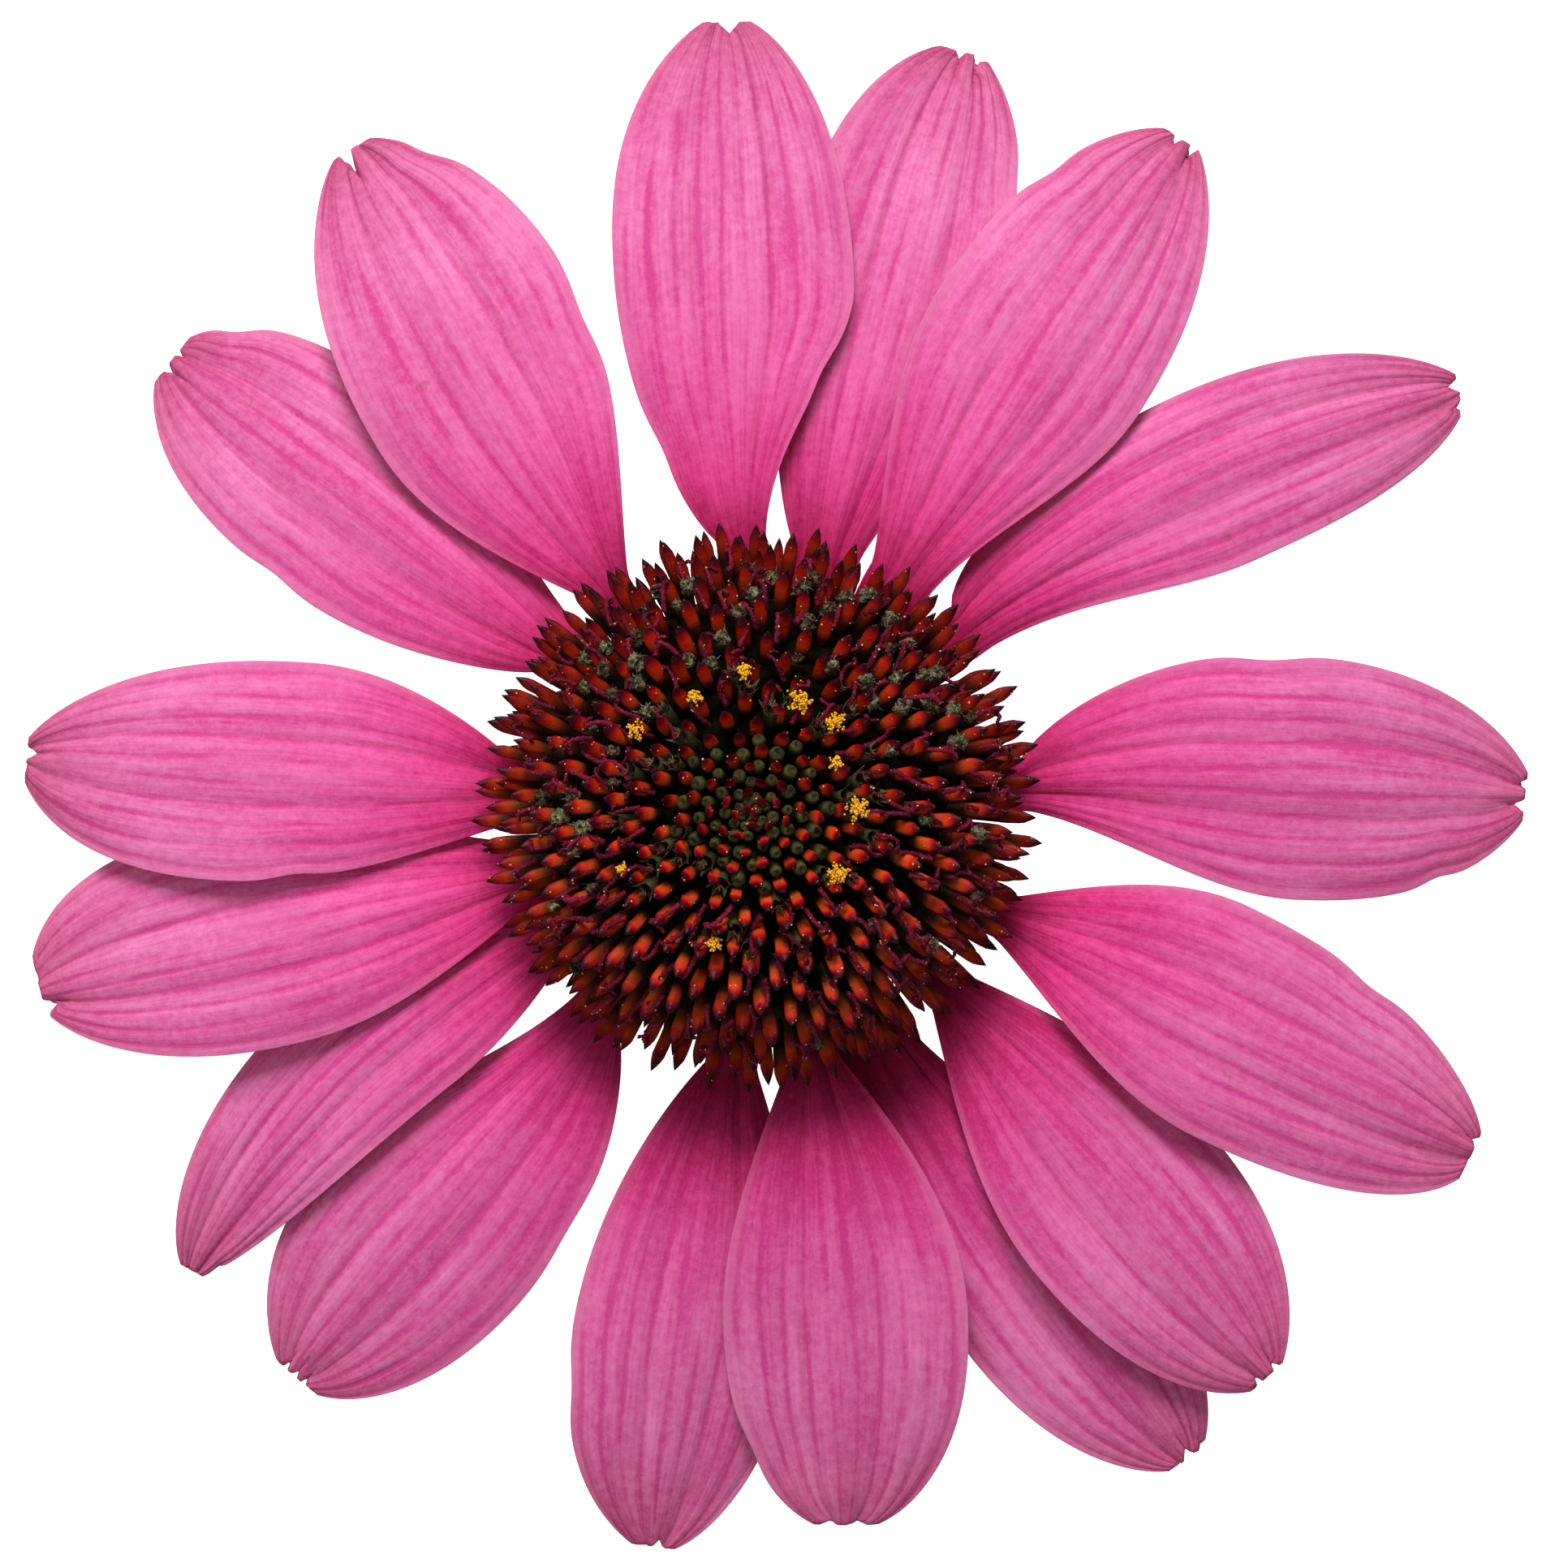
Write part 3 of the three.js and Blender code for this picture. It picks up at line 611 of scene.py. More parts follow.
# root angle; half width of the claw on the ccw and the cw side; radius and angle of the tip; bend of
# the middle line; lift, roll and droop; how strongly the cone's painted shadow deepens and darkens the
# claw end, on the rays away from the key light; notches in the tip as place across in mm, depth and half
# width; half width, where it is widest, how late it swells and how bluntly it closes, of the ccw and the
# cw side; dips in the edges as side, place along, depth in mm and half length
RAYS = [
    dict(root=94.3, claw=(1.9, 1.75), tip=(58.8, 92.5), lift=0.9, droop=7.2,
         ccw=(8.9, 0.63, 0.78, 0.67), cw=(8.9, 0.56, 1.75, 0.57),
         notches=[(-0.3, 0.9, 0.8)], dips=[(1, 0.3, 0.35, 0.05), (-1, 0.42, 0.3, 0.04)]),
    dict(root=75, claw=(2.85, 2.45), tip=(58.7, 74.5), lift=-0.8, droop=7.6,
         ccw=(8.7, 0.65, 0.85, 0.57), cw=(7.7, 0.6, 1.1, 0.72),
         notches=[(-0.9, 1.0, 0.5), (0.5, 0.8, 0.4)], dips=[(-1, 0.8, 0.35, 0.05)]),
    dict(root=59.5, claw=(2.3, 2.6), tip=(59.1, 57.3), lift=1.0, roll=1, droop=6.8,
         ccw=(9.3, 0.58, 1.1, 0.6), cw=(8.2, 0.58, 1.45, 0.73),
         notches=[(-0.7, 1.0, 0.4), (0.6, 0.7, 0.4)], dips=[(1, 0.84, 0.4, 0.04)]),
    dict(root=42, claw=(1.4, 2.6), tip=(61.3, 31), bend=3.4, lift=-0.7, roll=-2, droop=8.4,
         ccw=(6, 0.58, 0.62, 0.7), cw=(7.6, 0.6, 1.4, 0.56),
         notches=[(0.1, 0.8, 0.5), (-1.5, 0.6, 0.5)], dips=[(1, 0.36, 0.3, 0.06)]),
    dict(root=4.5, tip=(57.4, 0.9), bend=1.2, lift=0.2, roll=3, droop=6.6,
         ccw=(9.2, 0.56, 0.76, 0.65), cw=(9, 0.62, 1.25, 0.6),
         notches=[(-0.8, 0.8, 0.5), (0.8, 0.6, 0.4)], dips=[(1, 0.56, 0.45, 0.06), (-1, 0.86, 0.4, 0.03)]),
    dict(root=-24.5, claw=(1.9, 1.4), tip=(59.4, -25.6), lift=0.7, roll=-6, droop=7.8, flush=0.35,
         ccw=(8.9, 0.5, 1.0, 0.66), cw=(8.2, 0.58, 1.1, 0.46),
         notches=[(0.5, 0.5, 0.5)], dips=[(1, 0.73, 0.4, 0.05)]),
    dict(root=-44.5, claw=(2.5, 1.0), tip=(57.2, -48.1), lift=0.1, roll=-6, droop=7, flush=0.8,
         ccw=(8.5, 0.62, 1, 0.71), cw=(8.2, 0.62, 1, 0.6),
         notches=[(-0.9, 0.6, 0.4), (0.7, 0.6, 0.4)], dips=[]),
    dict(root=-64, claw=(1.7, 4), tip=(58.6, -56.7), lift=-1.6, roll=-1, droop=7.4, flush=1,
         ccw=(7, 0.6, 1.5, 0.6), cw=(8.8, 0.6, 1.1, 0.64),
         notches=[(0.2, 0.8, 0.5), (1.4, 0.4, 0.4)], dips=[]),
    dict(root=-76, claw=(1.9, 1.9), tip=(54.1, -83.2), bend=0.9, lift=1.0, roll=-1, droop=6.9, flush=1,
         ccw=(9.5, 0.62, 1, 0.52), cw=(8.7, 0.64, 1, 0.54),
         notches=[(-1.1, 0.3, 0.8), (0.9, 0.3, 0.8)], dips=[(-1, 0.86, 0.3, 0.05)]),
    dict(root=-95, claw=(2, 1.9), tip=(56.1, -98), lift=-0.6, roll=-3, droop=7.8, flush=1,
         ccw=(8, 0.6, 1, 0.65), cw=(8.6, 0.64, 0.88, 0.64),
         notches=[(0.2, 0.6, 0.4)], dips=[(-1, 0.74, 0.35, 0.06)]),
    dict(root=-126, claw=(1.6, 2.3), tip=(55.2, -129.3), lift=-0.9, roll=4, droop=8.2, flush=0.5,
         ccw=(9.4, 0.6, 0.78, 0.54), cw=(8.4, 0.66, 1.45, 0.65),
         notches=[(-0.8, 0.6, 0.3), (0.1, 0.7, 0.3), (0.9, 0.5, 0.3)], dips=[(1, 0.48, 0.4, 0.09)]),
    dict(root=-148, claw=(3.3, 2.2), tip=(55, -140.6), bend=-3.8, lift=-0.2, roll=7, droop=8.4,
         ccw=(6.1, 0.42, 0.85, 0.69), cw=(5.8, 0.55, 1.1, 0.62),
         notches=[(1.5, 0.5, 0.5)], dips=[]),
    dict(root=-162.5, claw=(2.7, 3), tip=(55.5, -165.3), lift=0.5, roll=7, droop=6.7,
         ccw=(8, 0.56, 1, 0.66), cw=(9.2, 0.64, 1.1, 0.46),
         notches=[(0.9, 1.1, 0.7)], dips=[]),
    dict(root=175.6, claw=(3, 2.7), tip=(54.9, 175.8), lift=1.1, roll=5, droop=7.2,
         ccw=(8.4, 0.64, 1, 0.54), cw=(8.2, 0.5, 0.9, 0.7),
         notches=[(0, 0.8, 0.5)], dips=[(1, 0.5, 0.35, 0.05)]),
    dict(root=142.9, claw=(2, 2.7), tip=(55.4, 142.8), lift=-0.8, roll=3, droop=7.8,
         ccw=(8.3, 0.6, 0.85, 0.55), cw=(8.3, 0.64, 1.2, 0.52),
         notches=[(-0.7, 0.6, 0.3), (0.6, 0.9, 0.4)], dips=[(1, 0.62, 0.3, 0.05), (-1, 0.94, 0.5, 0.03)]),
    dict(root=125.5, claw=(2, 1.5), tip=(57.9, 121.8), lift=0.9, droop=6.9,
         ccw=(9.6, 0.54, 1, 0.66), cw=(9.2, 0.62, 1.1, 0.69),
         notches=[(0.5, 1.9, 0.55)], dips=[(-1, 0.56, 0.55, 0.07), (-1, 0.93, 0.5, 0.03)]),
]

# the deep and the pale pink along a blade
RAY_DEEP = [(0.0, 84, 0, 26), (0.12, 142, 0, 54), (0.25, 204, 28, 108), (0.42, 214, 52, 134),
            (0.75, 214, 66, 142), (0.92, 198, 60, 126), (1.0, 168, 48, 98)]
RAY_PALE = [(0.0, 140, 0, 50), (0.12, 196, 8, 86), (0.25, 240, 78, 152), (0.42, 242, 108, 174),
            (0.75, 242, 136, 190), (0.92, 232, 124, 174), (1.0, 216, 104, 150)]
# the first is painted shade along the two grooves; the others are the blade's own pinks
GROOVE_PAINTED_SHADE, MARGIN_PINK, BLOTCH_PINK = (196, 120, 160), (226, 128, 172), (214, 104, 156)
BLOOM_PINK, BRUISE, UNDER_PALE, UNDER_VEIN = (248, 170, 206), (156, 84, 84), (214, 140, 166), (178, 74, 118)


def half_width(s, side, claw):
    """Half width of one side of a ray at the share s of its length."""
    width, widest, late, blunt = side
    x = np.clip((s - widest) / (TIP_REACH - widest), 0, 1)
    closing = width * (1 - x**CLOSING) ** blunt
    x = np.clip((s - CLAW_END) / (widest - CLAW_END), 0, 1)
    foot = ROOT_HALF + (claw - ROOT_HALF) * smooth(s, 0, CLAW_END)
    swelling = foot + (width - foot) * np.sin(math.pi / 2 * x**late)
    return np.where(s > widest, closing, swelling)


def ray_surface(ray, s, u):
    """Points in mm of the middle of a ray: s from claw to tip, u from the cw to the ccw edge."""
    def polar(radius, angle):
        return np.array([radius * math.cos(math.radians(angle)), radius * math.sin(math.radians(angle))])
    start, end = polar(RAY_ROOT_R, ray["root"]), polar(*ray["tip"])
    chord = unit(end - start)
    control = (start + end) / 2 + np.array([-chord[1], chord[0]]) * 2 * ray.get("bend", 0)
    point, ahead = arc(s, start, control, end)
    left = np.stack([-ahead[..., 1], ahead[..., 0]], -1)
    claws = ray.get("claw", (CLAW_HALF, CLAW_HALF))
    half = np.where(u > 0, half_width(s, ray["ccw"], claws[0]), half_width(s, ray["cw"], claws[1]))
    for side, dip_at, depth, wide in ray["dips"]:
        half = half - (u * side > 0) * depth * np.exp(-(((s - dip_at) / wide) ** 2))
    aside = u * half
    cut = sum(
        depth * np.clip(1 - np.abs(aside - place) / wide, 0, 1) for place, depth, wide in ray["notches"]
    )
    along = -cut * smooth(s, NOTCHED_FROM, 1)
    flat = point + left * aside[..., None] + ahead * along[..., None]
    root = math.radians(ray["root"])
    opening = smooth(s, *FLAT_CLAW)
    climb = CROWN * np.sin(math.pi / 2 * np.minimum(1, s / CROWN_AT))
    fall = ray["droop"] * np.clip((s - DROOP_FROM) / (1 - DROOP_FROM), 0, 1) ** 2
    roll = math.tan(math.radians(ray.get("roll", 0)))
    stack = ray["lift"] * (CLAW_LIFT + (1 - CLAW_LIFT) * opening) + aside * roll * opening
    groove = GROOVE_DEEP * np.exp(-(((np.abs(u) - GROOVE_AT) / GROOVE_WIDE) ** 2))
    camber = CAMBER * u * u * half / FULL_HALF
    wave = WAVE_HIGH * u * np.abs(u) * np.sin(WAVE_TURNS * (s + root))
    z = RAY_ROOT_Z + climb - fall + stack + (wave - groove - camber) * opening
    return np.concatenate([flat, z[..., None]], -1)


def ray_mesh(number, ray):
    """A closed blade with vein relief, and attributes for its pattern."""
    draw = np.random.default_rng(number)
    steps = np.linspace(0, 1, ROWS)
    steps = TIP_CROWDING * np.sin(math.pi / 2 * steps) + (1 - TIP_CROWDING) * steps
    across = np.sin(np.linspace(-1, 1, COLUMNS) * EDGE_CROWDING) / math.sin(EDGE_CROWDING)
    s, u = np.meshgrid(steps, across, indexing="ij")
    middle = ray_surface(ray, s, u)
    slope_s = ray_surface(ray, s + NEARBY, u) - ray_surface(ray, s - NEARBY, u)
    slope_u = ray_surface(ray, s, u + NEARBY) - ray_surface(ray, s, u - NEARBY)
    normal = unit(np.cross(slope_s, slope_u))
    opening = smooth(s, *RELIEF_RISES) * (1 - FADE_BY * smooth(s, *RELIEF_FADES))
    drift = VEIN_DRIFT * sum(
        share * np.sin(long * s + draw.choice((-1, 1)) * wide * u + draw.uniform(0, 6.3))
        for long, wide, share in DRIFTS
    )
    quilt = np.cos(FULL_TURN * VEINS * ((u + 1) / 2 + drift))
    swell = sum(
        np.sin(draw.uniform(2, 9) * s + draw.uniform(-3, 3) * u + draw.uniform(0, 6.3)) for _ in range(SWELLS)
    )
    relief = (VEIN_RELIEF * quilt + SWELL_RELIEF * swell / 2) * opening
    edge = 1 - (1 - EDGE_SHARE) * np.abs(u) ** 5
    thick = (CLAW_THICK + (BLADE_THICK - CLAW_THICK) * smooth(s, 0, THIN_FROM)) * edge
    top = middle + normal * (relief + thick / 2)[..., None]
    under = middle + normal * (relief - thick / 2)[..., None]
    tone = np.full(s.shape, draw.uniform(0, 1))
    mesh = blade(f"ray_{number:02d}", top, under, across=(u + 1) / 2, along=s, tone=tone, drift=drift,
                 flush=np.full(s.shape, ray.get("flush", 0.0)))
    return in_metres(mesh)


def ray_material():
    """Velvety pink, deepest at the claw, with darker veins from claw to tip and paler bands between; painted
    shade in the two grooves, and the cone's painted shadow at the claw end of the rays away from the key
    light.
    """
    material, tree, shader = new_material("ray_pink", Roughness=0.75, Specular_IOR_Level=0.1,
                                          Subsurface_Weight=0.08, Subsurface_Scale=0.001)
    place = object_place(tree)
    grain, blotch, speck = skin(tree, place, Grain=5200.0, Blotch=200.0, Speck=620.0)
    across, along, tone, under, drift, flush = attributes(
        tree, "across", "along", "tone", "under", "drift", "flush")
    seed = tone * 40.0

    def stretched(wide, long, detail=3.0, rough=0.5):
        return noise(tree, vector(tree, across * wide, along * long, seed), 1.0, detail, rough)

    def vein_lines(count, half, own, low, high):
        lane = (across + drift) * count
        off = abs(lane.fraction() - 0.5)
        strength = noise(tree, vector(tree, lane.floor() * own, along * 4.5, seed), 1.0, 3.0)
        return off.soft(0.0, half, 1.0, 0.0) * strength.soft(0.36, 0.62, low, high)

    main_veins = vein_lines(VEINS, 0.3, 3.7, 0.2, 1.0) * along.soft(0.12, 0.5, 0.3, 1.0)
    fine_veins = vein_lines(FINE_VEINS, 0.4, 2.3, 0.0, 1.0)
    streaks = stretched(46.0, 9.0, 5.0, 0.72)
    mottle = noise(tree, place, 1500.0, 4.0, 0.7)
    bands = stretched(6.0, 1.7)
    patches = stretched(4.2, 3.4, 2.0)
    edge = abs(across * 2.0 - 1.0)
    # painted shade along the two grooves, multiplied in
    groove_shade = abs(abs(across - 0.5) - GROOVE_AT / 2).soft(0.0, 0.03, 1.0, 0.0) * bands.soft(0.46, 0.62)

    # painted shadow of the cone: on the rays away from the key light the claw end shifts to the deeper colour
    shade = along - flush * along.soft(0.3, 0.6, 0.07, 0.0)
    light = bands.soft(0.36, 0.66, 0.22, 0.58) + patches.soft(0.4, 0.64, 0.0, 0.24)
    light = light + streaks.soft(0.36, 0.68, 0.0, 0.34)
    light = light - 0.22 * fine_veins - 0.6 * main_veins + mottle.soft(0.3, 0.7, -0.22, 0.22)
    # the same painted shadow of the cone, darkening the claw end
    light = light - flush * along.soft(0.28, 0.62, 0.42, 0.0)
    bloom = grain.soft(0.3, 0.7, 0.0, 0.08) * along.soft(0.1, 0.5, 0.3, 1.0)
    colour = coated(
        tree, mixed(tree, light, ramp(tree, shade, RAY_DEEP), ramp(tree, shade, RAY_PALE)),
        (groove_shade * 0.5, GROOVE_PAINTED_SHADE, TINT),
        (edge.soft(0.84, 1.0, 0.0, 0.4) * along.soft(0.15, 0.4), MARGIN_PINK),
        (blotch * along.soft(0.2, 0.6) * 0.2, BLOTCH_PINK),
        (bloom, BLOOM_PINK),
        (speck * 0.4, BRUISE),
        (under * 0.75, mixed(tree, main_veins * 0.7, UNDER_PALE, UNDER_VEIN)))
    finish(tree, shader, colour, streaks - 0.5 * main_veins + 0.16 * grain + 0.5 * mottle, 0.06)
    return material


ray_pink = ray_material()
for number, ray in enumerate(RAYS, 1):
    piece(f"ray_{number:02d}", ray_mesh(number, ray), ray_pink, f"ray_floret_{number:02d}")


# CONE CORE
# The domed receptacle that the disc florets sit on. It is solid and knobbly with the feet of florets
# and spines, and it shows only as deep shadow between them: its top is painted near-black as that shade.
CORE_PROFILE = [(0, 11.25), (8.0, 11.22), (12.3, 11.25), (13.4, 12.5), (15.2, 13.9), (15.9, 16), (15.2, 18.6),
                (13, 21.4), (9.6, 23.6), (5.6, 24.4), (2.6, 23.6), (0, 23.2)]
CORE_SIDES, CORE_STEPS = 110, 8
KNOB_HIGH, KNOBS_ROUND, KNOBS_UP, KNOBS_FROM_R = 0.4, 30, 11, (2, 5)
FLANK_Z = (15.0, 20.0)  # heights between which the flank's olive gives way to black
# the first two are painted shade, near-black on top of the core; then the flank's own browns, and specks
CORE_PAINTED_SHADE, CORE_PAINTED_SHADE_BROWN, CORE_SPECK = (5, 4, 2), (16, 14, 6), (52, 24, 14)
FLANK_BROWN, FLANK_OLIVE = (34, 24, 10), (74, 62, 28)


def core_mesh():
    """The core's profile turned about the middle axis, with staggered knobs."""
    fine, radius, height = fine_profile(CORE_PROFILE, CORE_STEPS)
    turn = around(CORE_SIDES)
    knob = np.sin(KNOBS_ROUND * turn[None] + fine[:, None] * math.pi) * np.sin(KNOBS_UP * fine[:, None])
    wide = radius[:, None] - KNOB_HIGH * (0.5 - 0.5 * knob) * smooth(radius, *KNOBS_FROM_R)[:, None]
    return in_metres(loft("cone_core", turned(turn, zip(wide, height)), height=height))


def core_material():
    """Painted near-black shade on top, between the florets, over olive-brown on the flank; rough and mottled.
    """
    material, tree, shader = new_material("core_dark", Roughness=0.9, Specular_IOR_Level=0.02)
    grain, blotch, speck = skin(tree, object_place(tree), Grain=2600.0, Blotch=700.0)
    flank = attributes(tree, "height")[0].soft(*FLANK_Z, 1.0, 0.0)
    colour = coated(
        tree, mixed(tree, blotch, CORE_PAINTED_SHADE, CORE_PAINTED_SHADE_BROWN),
        (flank, mixed(tree, blotch, FLANK_BROWN, FLANK_OLIVE)),
        (speck * 0.5, CORE_SPECK))
    finish(tree, shader, colour, grain, 0.1)
    return material


piece("cone_core", core_mesh(), core_material(), "cone")


# SPINES
# One stiff keeled scale stands outside each disc floret and makes the cone prickly. It is olive below,
# painted near-black there as the shade of the gaps, glossy orange-red above, with a hard maroon point,
# and leans further out to the rim.
CONE_R = 21.2
DOME_R, DOME_Z, DOME_RISE = 21.4, 11.8, 16.2
DIMPLE, DIMPLE_R = 1.6, 4.2
APEX_SHIFT = (-0.5, -0.5)
GOLDEN_TURN = 137.508
SPREAD_MIDDLE, SPREAD_RIM = 1.32, 1.4  # how the places crowd towards the middle and the rim
LEAN_MIDDLE, LEAN_RIM, LEAN_POWER = 4.0, 86.0, 0.88
INWARD_BY = 3.0  # radius from which the florets stand fully inward of their spines
SPINE_COUNT, SPINE_KINDS = 365, 5
SPINE_LONG = 7.0
# place along a spine, half width across, depth on the keel's side and on the smooth side
BLUNT_SPINE = [(0.0, 0.3, 0.24, 0.15), (0.4, 0.42, 0.3, 0.18), (0.7, 0.5, 0.34, 0.2),
               (0.84, 0.52, 0.34, 0.22), (0.9, 0.45, 0.3, 0.2), (0.94, 0.34, 0.24, 0.16),
               (0.972, 0.2, 0.15, 0.1), (1.0, 0.02, 0.02, 0.02)]
SHARP_SPINE = [(0.0, 0.34, 0.24, 0.15), (0.45, 0.42, 0.3, 0.16), (0.7, 0.46, 0.32, 0.17),
               (0.82, 0.45, 0.3, 0.16), (0.88, 0.38, 0.25, 0.14), (0.93, 0.26, 0.18, 0.11),
               (0.968, 0.13, 0.1, 0.07), (1.0, 0.02, 0.02, 0.02)]
SPINE_SIDES, SPINE_BEND, SPINE_SWAY = 8, 0.35, 0.25
SHARP_FROM, PAST_RIM = 0.86, 1.1  # shares of the radius between which the spines are lance-shaped
SPINE_SPREAD = dict(Width_In=0.92, Width_Out=1.04, Length_In=0.85, Stray=0.14, Tilt=4.0, Seed=3)
# rings of older spines under the rim's: how many, first turn, reach and height of the tips, and lean
FLANK_RINGS = [(34, 6.5, 18.2, 18.9, 68.0), (38, 2.0, 19.3, 17.6, 76.0), (42, 1.0, 20.0, 16.0, 84.0),
               (40, 5.0, 20.1, 14.3, 89.0), (38, 3.0, 19.0, 12.9, 95.0)]
FLANK_WIDE, FLANK_STRAY, FLANK_SIZE = 0.95, 3.0, 0.05
# colours along a spine in the middle of the cone, outside it and at the rim; the near-black stops low
# down are painted shade of the gaps between the florets, over the spines' own olive-brown
YOUNG_SPINE = [(0.0, 8, 8, 3), (0.6, 18, 18, 7), (0.76, 52, 26, 10), (0.86, 206, 62, 34), (0.91, 170, 22, 34),
               (0.95, 96, 6, 28), (1.0, 44, 0, 16)]
INNER_SPINE = [(0.0, 16, 14, 6), (0.4, 34, 29, 12), (0.56, 9, 7, 3), (0.65, 54, 24, 8), (0.73, 206, 84, 32),
               (0.83, 222, 60, 24), (0.88, 170, 18, 16), (0.92, 92, 2, 22), (1.0, 40, 0, 14)]
OUTER_SPINE = [(0.0, 26, 19, 8), (0.4, 48, 38, 16), (0.54, 34, 20, 8), (0.66, 112, 46, 14),
               (0.77, 176, 52, 16), (0.85, 150, 22, 14), (0.91, 96, 4, 16), (0.96, 58, 0, 16),
               (1.0, 34, 0, 10)]
# multiplied in: painted shade on the first ray's side, painted shade on the edges, and a random older tone
NORTH_PAINTED_SHADE, SIDE_PAINTED_SHADE, OLD_TINT = (208, 132, 132), (150, 50, 90), (200, 130, 110)
STAIN_TINT, SPINE_DUST_AND_GLINT = (150, 110, 100), (206, 170, 130)
PAINTED_SHADE_NORTH_Y = (-0.004, 0.014)  # metres towards the first ray, over which the spines are painted darker and redder as shade
INNER_R, OUTER_R = (0.12, 0.34), (0.66, 0.95)  # shares of the radius, over which the colours change


def spine_shape(number, sections, **values):
    """A spine with its tip at the origin and its body below, the keel on the +X side."""
    draw = np.random.default_rng(number)
    turn = around(SPINE_SIDES)
    rings = []
    side, bend = draw.uniform(-SPINE_SWAY, SPINE_SWAY), SPINE_BEND * draw.uniform(0.3, 1.5)
    for place, half, keel, smooth_side in sections:
        depth = np.where(np.cos(turn) > 0, keel, smooth_side)
        x = depth * np.cos(turn) - bend * (1 - (1 - place) ** 2) + bend
        y = half * np.sin(turn) * draw.uniform(0.94, 1.06) + side * (1 - place) ** 2
        rings.append(np.stack([x, y, np.full(SPINE_SIDES, SPINE_LONG * (place - 1))], -1))
    return loft(f"spine_{number}", rings, along=[section[0] for section in sections], **values)


def flank_shape(number, reach, height, lean):
    """An old spine with its tip at this distance from the middle axis, pointing along +X."""
    mesh = spine_shape(number, SHARP_SPINE, share=np.ones(len(SHARP_SPINE)))
    size = Matrix.Diagonal((FLANK_WIDE, FLANK_WIDE, 1.0, 1.0))
    tilt = Matrix.Rotation(math.radians(lean), 4, "Y")
    mesh.transform(Matrix.Translation((reach, 0, height)) @ tilt @ size)
    return mesh


def spiral_tree():
    """Shapes set on the cone's golden spiral, each along the spine of its place."""
    tree, given = new_tree(
        "cone_spiral", Count=SPINE_COUNT, From=0.0, To=PAST_RIM, Kept=1.0, More_North=0.0, Inward=0.0,
        Below=0.0, Aside=0.0, Stray=0.2, Tilt=4.0, Roll=0.0, Width_In=1.0, Width_Out=1.0, Length_In=1.0,
        Length_Out=1.0, Size_Spread=0.08, Seed=1)
    seed = given["Seed"]
    index = node(tree, "GeometryNodeInputIndex")[0]
    order = (index + 0.5) / given["Count"]
    share = (1.0 - (1.0 - order**SPREAD_MIDDLE) ** SPREAD_RIM) ** 0.5
    turn = index * (GOLDEN_TURN * DEGREE)
    radius = share * CONE_R
    radius = radius - given["Inward"] * (radius / INWARD_BY).soft(0.0, 1.0)
    lean = LEAN_MIDDLE + (LEAN_RIM - LEAN_MIDDLE) * share**LEAN_POWER
    tilt = given["Tilt"] * DEGREE
    lean = lean * DEGREE + tilt * either_way(tree, seed, 1)
    level, hollow = radius / DOME_R, radius / DIMPLE_R
    dent = DIMPLE * (-1.0 * hollow * hollow).exponential()
    height = DOME_Z + DOME_RISE * (1.0 - level * level) ** 0.5 - dent
    back, drop = given["Below"] * lean.sine(), given["Below"] * lean.cosine()
    stray = [given["Stray"] * either_way(tree, seed, number) for number in (2, 3, 4)]
    out, side = radius - back, given["Aside"] + stray[1]
    x = out * turn.cosine() - side * turn.sine() + APEX_SHIFT[0] * (1.0 - share) + stray[0]
    y = out * turn.sine() + side * turn.cosine() + APEX_SHIFT[1] * (1.0 - share)
    place = vector(tree, x, y, height - drop + stray[2])
    points = node(tree, "GeometryNodePoints", {0: given["Count"], 1: place})[0]
    points = keep(tree, points, "share", share)
    points = keep(tree, points, "chance", chance(tree, seed, 5))
    wanted = given["Kept"] + given["More_North"] * turn.sine()
    chosen = share.above(given["From"]) * share.below(given["To"]) * chance(tree, seed, 6).below(wanted)
    facing = vector(tree, tilt * either_way(tree, seed, 7), lean, turn)
    facing = node(tree, "FunctionNodeEulerToRotation", {0: facing})[0]
    roll = vector(tree, z=given["Roll"] * DEGREE * either_way(tree, seed, 8))
    facing = node(tree, "FunctionNodeRotateRotation", {0: facing, 1: roll}, rotation_space="LOCAL")[0]
    size = 1.0 + given["Size_Spread"] * either_way(tree, seed, 10)
    width, length = (
        size * (given[f"{name}_In"] + (given[f"{name}_Out"] - given[f"{name}_In"]) * share)
        for name in ("Width", "Length"))
    return planted(tree, given, points, facing, vector(tree, width, width, length), chosen)


